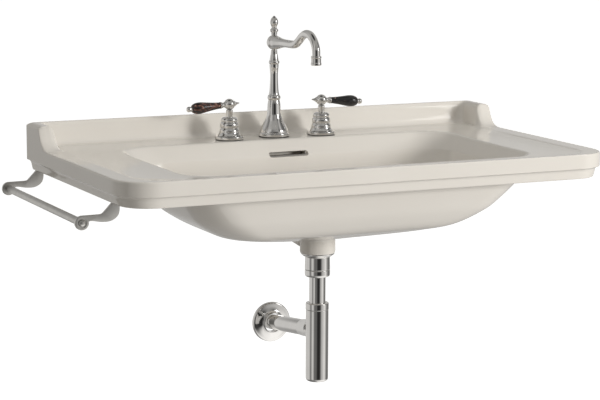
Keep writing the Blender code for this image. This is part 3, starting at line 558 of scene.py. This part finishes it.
def spout(material):
    spout_column(material)
    spout_tube(material)
    outlet = centre_of("aerator")
    aerator = ((6, 161.6, 1), (9.4, 161.6, 1), (10.2, 162.3), (10.4, 163.4), (10.4, 165.4), (10.1, 166.6),
               (9.7, 167.2, 1), (9.7, 175.6, 1), (10.2, 176.4), (10.4, 177.4), (10.2, 178.8),
               (9.6, 179.7, 1),
               (6, 179.7, 1))
    show("aerator", turned(aerator, (outlet.x, outlet.y, 0)), material)
    finial = ((0, 206.4), (6.2, 206.4, 1), (6.1, 209), (6.3, 211.6, 1), (7.9, 213), (8.4, 215),
              (7.9, 217.2),
              (6.1, 218.9, 1), (5.1, 220.8), (5.5, 223), (7, 226), (8, 229.4), (8.1, 233), (7, 237),
              (5, 240.2),
              (3, 242.4), (1.4, 244.2), (0, 244.6))
    show("spout_finial", turned(finial, SPOUT_AXIS), material)


# ---- valves and levers

HUB_HEIGHT = 71
LEVER_DROOP = math.radians(4.3)


def valve(side, sign, chrome, grip_material):
    axis = axis_of(f"{side}_valve_bell")
    base = ((13, 1.7, 1), (29.2, 1.7, 1), (29.5, 2.8), (29.5, 6, 1), (29, 7.3), (27.6, 8, 1), (13, 8, 1))
    show(f"{side}_valve_base", turned(base, axis), chrome)
    bell = ((13.2, 8.3, 1), (23.1, 8.3, 1), (23.4, 9.2), (22.5, 10.7), (21, 13), (20.2, 15.6), (20, 18.4),
            (19.3, 20.9), (18, 22.8, 1), (17.3, 24, 1), (18.4, 25.2), (18.8, 28), (18.6, 31), (17.8, 33.6),
            (16.4, 35.3, 1), (15.8, 36.6, 1), (16.8, 37.9), (17, 39.8), (16.5, 41.8), (15, 43.6),
            (12.6, 45),
            (9.8, 45.6), (7.4, 45.6, 1), (7.4, 42, 1), (13.2, 42, 1))
    show(f"{side}_valve_bell", turned(bell, axis), chrome)
    spindle = ((0, 10), (3.9, 10, 1), (3.9, 40.6, 1), (7, 40.6, 1), (6.9, 50), (7, 58.4, 1), (6.3, 59.8),
               (5.4, 60.1, 1), (3.7, 60.1, 1), (3.7, 73, 1), (0, 73))
    show(f"{side}_spindle", turned(spindle, axis, sides=64), chrome)
    centre = Vector((axis.x, axis.y, HUB_HEIGHT * MM))
    direction = (sign * math.cos(LEVER_DROOP), 0, -math.sin(LEVER_DROOP))
    hub = ((0, -22.5), (1, -21.2), (1.9, -18.4), (2.9, -15.4), (4.6, -12.8), (5.5, -11.6), (5.5, -10.2, 1),
           (7.6, -8.4), (9.6, -5.9), (10.8, -3), (11.25, 0), (10.8, 3), (9.6, 5.9), (7.6, 8.4),
           (5.6, 10.4, 1),
           (5.1, 12), (5.1, 14.4, 1), (5.7, 15.4), (5.8, 17.4, 1), (2.2, 17.4, 1), (2.2, 81.4, 1),
           (0, 81.4))
    socket = turned(((0, -20), (4.05, -20, 1), (4.05, 2.4, 1), (0, 2.4)), centre, sides=48)
    mesh = combined(turned(hub, centre, direction), [socket], "DIFFERENCE")
    show(f"{side}_lever_hub", mesh, chrome)
    collar = ((2.5, 17.7, 1), (6.4, 17.7, 1), (6.9, 18.3), (7, 19.2), (6.7, 20.6, 1), (2.5, 20.6, 1))
    show(f"{side}_lever_collar", turned(collar, centre, direction), chrome)
    grip = ((2.5, 20.9, 1), (6.5, 20.9, 1), (6.7, 26), (7.6, 35), (9, 45), (10.4, 54), (11.4, 61),
            (11.7, 67),
            (11, 73), (9, 78.2), (6.6, 81), (5.8, 81.4, 1), (2.5, 81.4, 1))
    show(f"{side}_lever_grip", turned(grip, centre, direction), grip_material)
    cap = ((0, 81.7), (5.3, 81.7, 1), (4.9, 83.4), (5.4, 85.6), (5.7, 87.4), (5.2, 89.8), (3.8, 91.6),
           (0, 92.8))
    show(f"{side}_lever_cap", turned(cap, centre, direction), chrome)


# ---- waste and trap

TRAP_OUTLET_Z = -359
TRAP_START = Vector((DRAIN_AXIS.x, DRAIN_AXIS.y, TRAP_OUTLET_Z * MM))
OUTLET_VECTOR = (Vector((WALL_PIPE.x, 0, WALL_PIPE.z)) - TRAP_START).normalized()


def waste(material):
    fitting = ((16.5, -246, 1), (19.6, -246, 1), (19.6, -162, 1), (22.4, -161, 1), (22.4, -158.7, 1),
               (34.6, -158.7, 1), (35, -157.8), (34.4, -156.6), (32.2, -155.5), (29.6, -155.3),
               (24, -156.1),
               (19, -157.2), (17.2, -158.4), (16.5, -160, 1))
    mesh = turned(fitting, DRAIN_AXIS)
    y = DRAIN_AXIS.y / MM
    spider = [block((-17.4, y - 2.5, -180), (17.4, y + 2.5, -172), 0.8),
              turned(((0, -181), (8, -181, 1), (8, -171, 1), (0, -171)), DRAIN_AXIS, sides=48)]
    mesh = combined(mesh, spider, "UNION")
    bore = turned(((0, -184), (4.4, -184, 1), (4.4, -168, 1), (0, -168)), DRAIN_AXIS, sides=48)
    show("waste_fitting", combined(mesh, [bore], "DIFFERENCE"), material)
    plug = ((0, -192), (4, -192, 1), (4, -150, 1), (14, -149), (24, -147.6), (28.4, -146.6), (29.6, -145.4),
            (29.7, -144.4), (29, -143.4), (26, -142.5), (20, -141.6), (10, -140.9), (0, -140.6))
    show("waste_plug", turned(plug, DRAIN_AXIS), material)
    washer = ((20, -211, 1), (25.6, -211, 1), (27, -210.6), (30, -208.6), (32.6, -206.4), (33.4, -205.2),
              (33.3, -203.8, 1), (20, -203.8, 1))
    show("waste_washer", turned(washer, DRAIN_AXIS), material)
    sleeve = ((20, -237, 1), (24.4, -237, 1), (25, -236.2, 1), (24.6, -212.4, 1), (24, -211.3, 1),
              (20, -211.3, 1))
    show("waste_sleeve", turned(sleeve, DRAIN_AXIS), material)


def trap(material):
    inlet_nut = ((16.6, -251, 1), (21.8, -251), (23.4, -250.4), (24.5, -248.8), (25, -246, 1),
                 (25, -239, 1),
                 (24.7, -237.9), (24, -237.3, 1), (20, -237.3, 1), (20, -246.4, 1), (16.6, -246.4, 1))
    show("trap_inlet_nut", turned(inlet_nut, DRAIN_AXIS), material)
    inlet_tube = ((14.6, -427, 1), (16.2, -427, 1), (16.2, -238, 1), (14.6, -238, 1))
    show("trap_inlet_tube", turned(inlet_tube, DRAIN_AXIS), material)
    cap = ((16.5, -315.4, 1), (22, -315.4, 1), (22, -317, 1), (22.6, -317, 1), (22.9, -316.5, 1),
           (22.9, -306.4, 1),
           (22.8, -305), (22.2, -304), (21, -303.6, 1), (16.5, -303.6, 1))
    show("trap_cap", turned(cap, DRAIN_AXIS), material)
    bottle = ((0, -461.5), (14, -461.5), (18.2, -460.9), (20.8, -459.4), (22.2, -456.8), (22.5, -453, 1),
              (22.5, -317.8, 1), (22.1, -317.3, 1), (0, -317.3))
    cavity = ((0, -459.5, 1), (16, -459.3), (19.6, -457.8), (20.9, -454, 1), (20.9, -313, 1), (0, -313))
    branch = ((0, 3), (18.9, 3, 1), (18.7, 30.4, 1), (13.8, 30.4, 1), (13.8, 42, 1), (0, 42))
    bore = ((0, 12), (11.8, 12, 1), (11.8, 44, 1), (0, 44))
    mesh = combined(turned(bottle, DRAIN_AXIS), [turned(branch, TRAP_START, OUTLET_VECTOR)], "UNION")
    mesh = combined(mesh, [turned(cavity, DRAIN_AXIS), turned(bore, TRAP_START, OUTLET_VECTOR)],
                    "DIFFERENCE")
    show("trap_bottle", mesh, material)
    outlet_nut = ((16.2, 30.8, 1), (18.6, 30.8, 1), (18.5, 34), (18.1, 41), (17.6, 50), (17.2, 62),
                  (16.9, 77.8, 1),
                  (16.2, 78, 1))
    show("trap_outlet_nut", turned(outlet_nut, TRAP_START, OUTLET_VECTOR), material)
    wall = Vector((WALL_PIPE.x, 0, WALL_PIPE.z))
    length = (wall - TRAP_START).length / MM
    pipe = turned(((14.2, 31, 1), (15.8, 31, 1), (15.8, length + 20, 1), (14.2, length + 20, 1)),
                  TRAP_START,
                  OUTLET_VECTOR)
    behind = block((-100, 0, -600), (150, 60, -200), 0)
    show("trap_outlet_tube", combined(pipe, [behind], "DIFFERENCE"), material)
    flange = ((19.6, 0, 1), (42, 0, 1), (42, 5.4, 1), (41.6, 7), (40.4, 8.3), (38, 9), (32, 10.2),
              (26, 11.8),
              (23, 13.2, 1), (21.6, 14.2), (21, 16.8, 1), (19.6, 17, 1))
    show("wall_flange", turned(flange, wall, (0, -1, 0), sides=128), material)


# ---- towel rail

def bracket_outline():
    """Outline in (x, z): down from the rim, out along the arm and round the eye."""
    outer = ((-470.5, -49.4), (-486, -49.4), (-486.6, -50.2), (-502, -66.2), (-503.6, -67.5), (-506, -68.4),
             (-509, -68.7), (-530, -68.9))
    inner = smooth_run(((-528.4, -79.8), (-525, -79.5), (-519, -80.2), (-508, -82.2), (-496, -82.8),
                        (-487, -81.4),
                        (-479.5, -77.6), (-474, -72), (-471.6, -65), (-470.8, -56)), 5)
    points = [*outer, *arc((RAIL.x / MM, RAIL.z / MM), 13, 92, 368, 48), *inner]
    return [(x * MM, z * MM) for x, z in points]


def towel_rail(chrome, steel):
    for label in ("front", "rear"):
        screw = centre_of(f"rail_fixing_screw_{label}")
        low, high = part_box(f"rail_bracket_{label}")
        middle = low.y + 3 * MM if label == "front" else high.y - 3 * MM
        if label == "front":
            middle = screw.y
        plate = prism(bracket_outline(), -middle - 3 * MM, -middle + 3 * MM, 0.7 * MM, FRONT_VIEW)
        foot = block((-474, low.y / MM, -54.6), (-438, high.y / MM, -49.4), 0.8)
        mesh = combined(plate, [foot], "UNION")
        eye_centre = (RAIL.x, middle, RAIL.z)
        cuts = [turned(((0, -8), (3.4, -8, 1), (3.4, 8, 1), (0, 8)), eye_centre, (0, -1, 0), 48),
                turned(((0, -40), (3.2, -40, 1), (3.2, -60, 1), (0, -60)), (screw.x, screw.y, 0), sides=48)]
        if label == "front":
            cuts.append(turned(((0, 1.6), (9.4, 1.6, 1), (9.4, 6, 1), (0, 6)), eye_centre, (0, -1, 0)))
        show(f"rail_bracket_{label}", combined(mesh, cuts, "DIFFERENCE"), chrome, sharp=40)
        head = ((0, -58.6), (2.2, -58.6), (3.8, -58.2), (5.2, -56.9), (5.6, -55.4), (5.4, -54.9, 1),
                (2.8, -54.9, 1), (2.8, -27, 1), (0, -27))
        show(f"rail_fixing_screw_{label}", turned(head, (screw.x, screw.y, 0), sides=48), steel)
    low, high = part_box("rail_bar")
    bar = ((3.4, 0, 1), (7, 0, 1), (7, (high.y - low.y) / MM, 1), (3.4, (high.y - low.y) / MM, 1))
    show("rail_bar", turned(bar, (RAIL.x, low.y, RAIL.z), (0, 1, 0)), chrome)
    front = ((0, -22), (3, -22, 1), (3, 2, 1), (6, 2, 1), (6.4, 2.9), (6.2, 4), (5.2, 5.2), (3, 6.3),
             (0, 6.6))
    rear = ((0, -22), (3, -22, 1), (3, 3.3, 1), (5.8, 3.3, 1), (5.9, 4.4), (4.8, 5.6), (2.6, 6.3), (0, 6.4))
    front_y = centre_of("rail_fixing_screw_front").y
    rear_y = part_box("rail_bracket_rear")[1].y - 3 * MM
    show("rail_end_screw_front", turned(front, (RAIL.x, front_y, RAIL.z), (0, -1, 0), sides=64), chrome)
    show("rail_end_screw_rear", turned(rear, (RAIL.x, rear_y, RAIL.z), (0, 1, 0), sides=64), chrome)


# ---- hidden hardware

LINK_Z = -74


def hexagon_nut(origin, direction, across, height, hole, sides=96):
    """Hexagon nut in mm with both ends chamfered, bored through."""
    def reach(angle, limit):
        flat = across / 2 / math.cos(angle % (math.pi / 3) - math.pi / 6)
        return min(flat, limit)

    corner = across / math.sqrt(3)
    levels = ((0.0, corner * 0.91), (height * 0.06, corner * 0.95), (height * 0.14, corner),
              (height * 0.86, corner),
              (height * 0.94, corner * 0.95), (height, corner * 0.91))
    matrix = place_along(direction, origin)
    angles = [math.tau * step / sides for step in range(sides)]
    rings = [[matrix @ Vector((reach(a, limit) * math.cos(a) * MM, reach(a, limit) * math.sin(a) * MM,
                               z * MM))
              for a in angles] for z, limit in levels]
    for z in (height, 0.0):
        rings.append([matrix @ Vector((hole * math.cos(a) * MM, hole * math.sin(a) * MM,
                                       z * MM)) for a in angles])
    return grid_mesh("nut", rings, loop=True)


def ring(inner, outer, low, high):
    return ((inner, low, 1), (outer, low, 1), (outer, high, 1), (inner, high, 1))


def tap_hardware(brass, chrome, rubber):
    """Seals, washers, nuts, bodies, the tee and the link pipes under the deck."""
    axis = SPOUT_AXIS
    show("spout_seal", turned(ring(13, 31, 0.3, 1.6), axis), rubber)
    show("spout_washer", turned(ring(13.1, 20, -17.8, -15.3), axis), rubber)
    show("spout_shank", turned(((8, -62, 1), (12.5, -62, 1), (12.5, 18, 1), (8, 18, 1)), axis), brass)
    show("spout_nut", hexagon_nut((axis.x, axis.y, -26 * MM), (0, 0, 1), 33, 7.9, 12.9), brass)
    tee = ((0, -88), (12, -88), (15.5, -86.5), (15.5, -85, 1), (15.5, -54.6, 1), (15, -54, 1),
           (13.1, -54, 1),
           (13.1, -65, 1), (6, -65, 1), (6, -76, 1), (0, -76))
    start = (-28 * MM, axis.y, LINK_Z * MM)
    barrel = turned(((0, 0), (9.5, 0, 1), (9.5, 56, 1), (0, 56)), start, (1, 0, 0))
    bore = turned(((0, -2), (5.4, -2, 1), (5.4, 58, 1), (0, 58)), start, (1, 0, 0))
    mesh = combined(turned(tee, axis), [barrel], "UNION")
    show("spout_tee", combined(mesh, [bore], "DIFFERENCE"), brass)
    for side, sign in (("left", -1), ("right", 1)):
        axis = axis_of(f"{side}_valve_bell")
        show(f"{side}_valve_seal", turned(ring(13, 28, 0.3, 1.4), axis), rubber)
        show(f"{side}_valve_washer", turned(ring(13.1, 22, -17.8, -15.3), axis), rubber)
        show(f"{side}_valve_nut", hexagon_nut((axis.x, axis.y, -27 * MM), (0, 0, 1), 36, 8.9, 12.9), brass)
        body = ((6, -104, 1), (10.4, -104, 1), (10.4, -86, 1), (12.5, -84.6, 1), (12.5, 8, 1), (10, 8, 1),
                (10, 40, 1), (4.4, 40, 1), (4.4, -20, 1), (6, -22, 1))
        start = (axis.x, axis.y, LINK_Z * MM)
        port = turned(((0, 8), (8.6, 8, 1), (8.6, 20, 1), (0, 20)), start, (-sign, 0, 0))
        bore = turned(((0, 3), (5.4, 3, 1), (5.4, 22, 1), (0, 22)), start, (-sign, 0, 0))
        mesh = combined(turned(body, axis), [port], "UNION")
        show(f"{side}_valve_body", combined(mesh, [bore], "DIFFERENCE"), brass)
        show(f"{side}_link_pipe", link_pipe(side, SPOUT_AXIS.y, axis.y), chrome)


def link_pipe(side, tee_y, port_y):
    """Hollow pipe that runs straight out of the tee and the port, with an easy bend between them."""
    low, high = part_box(f"{side}_link_pipe")
    near, far = (low.x, high.x) if side == "right" else (high.x, low.x)
    shells = []
    for radius, extra in ((5, 0), (4, 2)):
        path = []
        for step in range(41):
            run = step / 40
            bend = min(max((run - 0.27) / 0.54, 0.0), 1.0)
            lengthen = (far - near) / abs(far - near) * extra * MM * (run > 0.99) - (
                (far - near) / abs(far - near) * extra * MM * (run < 0.01))
            path.append((near + (far - near) * run + lengthen,
                         tee_y + (port_y - tee_y) * bend * bend * (3 - 2 * bend), LINK_Z * MM))
        shells.append(swept_mesh(path, [radius * MM] * len(path)))
    return combined(shells[0], [shells[1]], "DIFFERENCE")


def wall_hardware(steel, rubber):
    """Studs, washers and nuts behind the bowl, and the soft seal of the trap."""
    for side in ("left", "right"):
        stud = centre_of(f"wall_stud_{side}")
        length = -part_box(f"wall_stud_{side}")[0].y / MM
        wall = (stud.x, 0, stud.z)
        pitch = 1.75
        thread = [(6 - 0.35 * (index % 2),
                   20 + index * pitch / 2) for index in range(int((length - 22) * 2 / pitch))]
        show(f"wall_stud_{side}", turned(((0, 0), (6, 0, 1), (6, 19, 1), *thread, (5.2, length, 1),
                                        (0, length)),
                                         wall, (0, -1, 0), 48, steps=1), steel)
        washer_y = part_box(f"wall_washer_{side}")[1].y
        show(f"wall_washer_{side}", turned(ring(6.4, 15, 0, 2.5), (stud.x, washer_y, stud.z), (0, -1, 0)),
             steel)
        nut_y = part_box(f"wall_nut_{side}")[1].y
        show(f"wall_nut_{side}", hexagon_nut((stud.x, nut_y, stud.z), (0, -1, 0), 19, 10, 6.4), steel)
    show("trap_seal", turned(ring(15.4, 20.2, -321.6, -320.3), DRAIN_AXIS), rubber)


# ---- materials

class Look:
    """A Principled material with object-space noise to vary its colour, roughness and surface."""

    def __init__(self, name, metallic=0.0, **constants):
        self.material = bpy.data.materials.new(name)
        self.material.use_nodes = True
        self.nodes = self.material.node_tree.nodes
        self.links = self.material.node_tree.links
        self.shader = self.nodes["Principled BSDF"]
        self.shader.inputs["Metallic"].default_value = metallic
        for socket, value in constants.items():
            self.shader.inputs[socket.replace("_", " ")].default_value = value
        self.place = self.nodes.new("ShaderNodeTexCoord").outputs["Object"]

    def noise(self, scale, detail=3.0, distortion=0.0, stretch=None):
        place = self.place
        if stretch:
            mapping = self.nodes.new("ShaderNodeMapping")
            mapping.inputs["Scale"].default_value = stretch
            self.links.new(place, mapping.inputs["Vector"])
            place = mapping.outputs["Vector"]
        texture = self.nodes.new("ShaderNodeTexNoise")
        texture.inputs["Scale"].default_value = scale
        texture.inputs["Detail"].default_value = detail
        texture.inputs["Distortion"].default_value = distortion
        self.links.new(place, texture.inputs["Vector"])
        return texture.outputs["Fac"]

    def colours(self, source, stops):
        """Blend between colours: stops are (position, (red, green, blue))."""
        ramp = self.nodes.new("ShaderNodeValToRGB")
        elements = ramp.color_ramp.elements
        while len(elements) < len(stops):
            elements.new(0.5)
        for element, (position, colour) in zip(elements, stops):
            element.position = position
            element.color = (*colour, 1.0)
        self.links.new(source, ramp.inputs["Fac"])
        self.links.new(ramp.outputs["Color"], self.shader.inputs["Base Color"])

    def roughness(self, source, low, high):
        spread = self.nodes.new("ShaderNodeMapRange")
        spread.inputs["From Min"].default_value = 0.35
        spread.inputs["From Max"].default_value = 0.65
        spread.inputs["To Min"].default_value = low
        spread.inputs["To Max"].default_value = high
        self.links.new(source, spread.inputs["Value"])
        self.links.new(spread.outputs["Result"], self.shader.inputs["Roughness"])

    def bump(self, source, strength, depth):
        node = self.nodes.new("ShaderNodeBump")
        node.inputs["Strength"].default_value = strength
        node.inputs["Distance"].default_value = depth
        self.links.new(source, node.inputs["Height"])
        self.links.new(node.outputs["Normal"], self.shader.inputs["Normal"])


def glazed_ceramic():
    """Warm off-white glaze: faint tint drift, slight orange peel, even gloss."""
    look = Look("glazed_ceramic", IOR=1.52)
    look.colours(look.noise(6, 2), ((0.3, (0.706, 0.667, 0.606)), (0.7, (0.726, 0.689, 0.63))))
    look.roughness(look.noise(35, 4), 0.03, 0.08)
    look.bump(look.noise(22, 1), 0.03, 0.002)
    return look.material


def polished_chrome():
    look = Look("polished_chrome", metallic=1.0)
    look.colours(look.noise(30, 2), ((0.3, (0.80, 0.79, 0.775)), (0.7, (0.85, 0.84, 0.825))))
    look.roughness(look.noise(90, 5), 0.03, 0.075)
    look.bump(look.noise(45, 1), 0.03, 0.001)
    return look.material


def satin_chrome():
    """The rail's brackets: cast plates polished by hand, a little milky."""
    look = Look("satin_chrome", metallic=1.0)
    look.colours(look.noise(40, 3), ((0.3, (0.62, 0.61, 0.585)), (0.7, (0.68, 0.67, 0.645))))
    look.roughness(look.noise(120, 5), 0.3, 0.42)
    look.bump(look.noise(260, 3), 0.05, 0.0005)
    return look.material


def raw_brass():
    look = Look("raw_brass", metallic=1.0)
    look.colours(look.noise(45, 5), ((0.3, (0.56, 0.37, 0.15)), (0.55, (0.70, 0.50, 0.24)),
                                     (0.75, (0.78, 0.60, 0.33))))
    look.roughness(look.noise(200, 4, stretch=(1, 1, 14)), 0.2, 0.42)
    look.bump(look.noise(240, 2, stretch=(1, 1, 14)), 0.12, 0.0005)
    return look.material


def zinc_steel():
    look = Look("zinc_steel", metallic=1.0)
    look.colours(look.noise(60, 5), ((0.3, (0.42, 0.42, 0.43)), (0.7, (0.60, 0.60, 0.61))))
    look.roughness(look.noise(180, 4), 0.28, 0.5)
    look.bump(look.noise(300, 3), 0.15, 0.0005)
    return look.material


def black_rubber():
    look = Look("black_rubber")
    look.colours(look.noise(80, 4), ((0.3, (0.018, 0.018, 0.018)), (0.7, (0.04, 0.04, 0.04))))
    look.roughness(look.noise(150, 3), 0.6, 0.85)
    look.bump(look.noise(500, 2), 0.3, 0.0004)
    return look.material


def marbled_resin(name, stops, scale, distortion, stretch):
    """Cast resin grip: colours swirled together under a polished surface."""
    look = Look(name, Coat_Weight=0.6, Coat_Roughness=0.03, IOR=1.5)
    look.colours(look.noise(scale, 6, distortion, stretch), stops)
    look.roughness(look.noise(120, 3), 0.08, 0.16)
    look.bump(look.noise(70, 1), 0.03, 0.0006)
    return look.material


# ---- studio

FLOOR_Z = -0.85


def camera():
    """Long lens, a little above the rim and well to the left of centre."""
    data = bpy.data.cameras.new("camera")
    data.sensor_width = 36
    data.lens = 125.385
    obj = bpy.data.objects.new("camera", data)
    right = Vector((0.90571344, -0.42387138, 0.0040273))
    up = Vector((0.06387746, 0.14587109, 0.98723923))
    back = right.cross(up)
    turn = Matrix((right, up, back)).transposed().to_4x4()
    obj.matrix_world = Matrix.Translation((-1.73818, -3.90686, 0.54799)) @ turn
    bpy.context.scene.collection.objects.link(obj)
    bpy.context.scene.camera = obj


def floor():
    """White paper sweep, lit up to full white; it isn't reflected, so the chrome sees the studio instead."""
    mesh = bpy.data.meshes.new("floor")
    reach = 60
    mesh.from_pydata([(-reach, -reach, FLOOR_Z), (reach, -reach, FLOOR_Z), (reach, reach, FLOOR_Z),
                      (-reach, reach, FLOOR_Z)], [], [(0, 1, 2, 3)])
    obj = bpy.data.objects.new("floor", mesh)
    bpy.context.scene.collection.objects.link(obj)
    look = Look("floor_paper", Emission_Color=(1, 1, 1, 1), Emission_Strength=0.75)
    look.colours(look.noise(3, 3), ((0.3, (0.88, 0.88, 0.88)), (0.7, (0.9, 0.9, 0.9))))
    look.roughness(look.noise(9, 3), 0.8, 0.95)
    mesh.materials.append(look.material)
    obj.visible_glossy = False
    obj.visible_diffuse = False


def panel_light(name, location, target, size, power, seen_in_gloss):
    data = bpy.data.lights.new(name, "AREA")
    data.shape = "RECTANGLE"
    data.size, data.size_y = size
    data.energy = power
    obj = bpy.data.objects.new(name, data)
    aim = Vector(target) - Vector(location)
    obj.matrix_world = Matrix.Translation(location) @ aim.to_track_quat("-Z", "Y").to_matrix().to_4x4()
    bpy.context.scene.collection.objects.link(obj)
    obj.visible_glossy = seen_in_gloss


# Brightness of the studio round the horizon: degrees from the front towards the right, and level.
HORIZON = ((-180, 0.6), (-151, 0.66), (-131, 0.58), (-115, 0.66), (-103, 0.42), (-90, 0.15), (-78, 0.6),
           (-67, 0.66),
           (-56, 0.21), (-46, 0.13), (-35, 0.17), (-25, 0.05), (-15, 0.02), (-4, 0.03), (6, 0.06),
           (17, 0.41),
           (28, 0.55), (40, 0.65), (53, 0.9), (65, 0.54), (81, 0.22), (101, 0.13), (135, 0.66), (160, 0.55),
           (180, 0.6))
GROUND = ((-180, 0.35), (-110, 0.15), (-60, 0.2), (-10, 0.8), (30, 1.1), (60, 1.1), (120, 0.7), (150, 0.4),
          (180, 0.35))
# The same a third of the way up.
MIDDLE = ((-180, 0.32), (-130, 0.5), (-95, 0.12), (-80, 0.5), (-55, 0.55), (-40, 0.2), (-10, 0.3),
          (10, 0.35), (30, 0.12),
          (45, 0.6), (60, 0.2), (80, 0.1), (110, 0.5), (150, 0.4), (180, 0.32))
DOME = (0.36, 0.355, 0.34)      # the upper part of the studio
ZENITH = (0.04, 0.04, 0.04)     # straight overhead


def world_ramp(nodes, links, source, levels):
    """Grey level against the compass angle of a direction."""
    ramp = nodes.new("ShaderNodeValToRGB")
    elements = ramp.color_ramp.elements
    while len(elements) < len(levels):
        elements.new(0.5)
    for element, (angle, level) in zip(elements, levels):
        element.position = angle / 360 + 0.5
        element.color = (level, level * 0.985, level * 0.96, 1)
    links.new(source, ramp.inputs["Fac"])
    return ramp.outputs["Color"]


def world_blend(nodes, links, height, start, finish, first, second):
    """Fade from one colour to another as a direction rises from start to finish."""
    spread = nodes.new("ShaderNodeMapRange")
    spread.interpolation_type = "SMOOTHSTEP"
    spread.inputs["From Min"].default_value = start
    spread.inputs["From Max"].default_value = finish
    links.new(height, spread.inputs["Value"])
    blend = nodes.new("ShaderNodeMix")
    blend.data_type = "RGBA"
    links.new(spread.outputs["Result"], blend.inputs["Factor"])
    for value, socket in ((first, blend.inputs[6]), (second, blend.inputs[7])):
        if isinstance(value, tuple):
            socket.default_value = (*value, 1)
        else:
            links.new(value, socket)
    return blend.outputs[2]


def studio_world():
    world = bpy.data.worlds.new("studio")
    bpy.context.scene.world = world
    world.use_nodes = True
    nodes, links = world.node_tree.nodes, world.node_tree.links
    direction = nodes.new("ShaderNodeSeparateXYZ")
    links.new(nodes.new("ShaderNodeTexCoord").outputs["Generated"], direction.inputs[0])
    forward = nodes.new("ShaderNodeMath")
    forward.operation = "MULTIPLY"
    forward.inputs[1].default_value = -1
    links.new(direction.outputs["Y"], forward.inputs[0])
    compass = nodes.new("ShaderNodeMath")
    compass.operation = "ARCTAN2"
    links.new(direction.outputs["X"], compass.inputs[0])
    links.new(forward.outputs[0], compass.inputs[1])
    share = nodes.new("ShaderNodeMath")
    share.operation = "MULTIPLY_ADD"
    share.inputs[1].default_value = 1 / math.tau
    share.inputs[2].default_value = 0.5
    links.new(compass.outputs[0], share.inputs[0])
    horizon = world_ramp(nodes, links, share.outputs[0], HORIZON)
    ground = world_ramp(nodes, links, share.outputs[0], GROUND)
    height = direction.outputs["Z"]
    lower = world_blend(nodes, links, height, -0.55, -0.3, ground, horizon)
    middle = world_ramp(nodes, links, share.outputs[0], MIDDLE)
    raised = world_blend(nodes, links, height, 0.12, 0.34, lower, middle)
    dome = world_blend(nodes, links, height, 0.6, 0.78, raised, DOME)
    whole = world_blend(nodes, links, height, 0.9, 0.97, dome, ZENITH)
    links.new(whole, nodes["Background"].inputs["Color"])
    nodes["Background"].inputs["Strength"].default_value = 1.0


# Name, place and aim in metres, size in metres, power in watts, and whether gloss shows it.
LIGHTS = (("key", (2.35, -3.8, 0.7), (0, -0.25, 0), (1.0, 1.0), 112, False),
          ("sparkle", (3.0, -3.2, 1.45), (0, -0.15, 0.05), (1.3, 1.3), 20, True),
          ("top", (-0.2, -0.9, 2.6), (0, -0.3, 0), (1.4, 1.1), 18, False))


def studio():
    studio_world()
    for light in LIGHTS:
        panel_light(*light)
    bpy.context.scene.view_settings.view_transform = "Standard"


# ---- the whole object

def main():
    ceramic = glazed_ceramic()
    chrome = polished_chrome()
    satin = satin_chrome()
    brass = raw_brass()
    steel = zinc_steel()
    rubber = black_rubber()
    tortoise = marbled_resin("tortoiseshell_resin",
                             ((0.45, (0.009, 0.006, 0.006)), (0.55, (0.045, 0.017, 0.013)),
                                                     (0.64, (0.14, 0.06, 0.042)),
                              (0.72, (0.44, 0.31, 0.24))),
                             70, 1.4, (1, 1, 1.6))
    black = marbled_resin("black_veined_resin",
                          ((0.54, (0.006, 0.006, 0.007)), (0.63, (0.02, 0.015, 0.014)),
                                                 (0.7, (0.2, 0.14, 0.11)), (0.78, (0.6, 0.53, 0.46))),
                          60, 2.2, (1, 1, 2))
    ceramic_body(ceramic)
    overflow_trim(chrome)
    spout(chrome)
    valve("left", -1, chrome, tortoise)
    valve("right", 1, chrome, black)
    waste(chrome)
    trap(chrome)
    towel_rail(satin, steel)
    tap_hardware(brass, chrome, rubber)
    wall_hardware(steel, rubber)
    camera()
    floor()
    studio()


main()
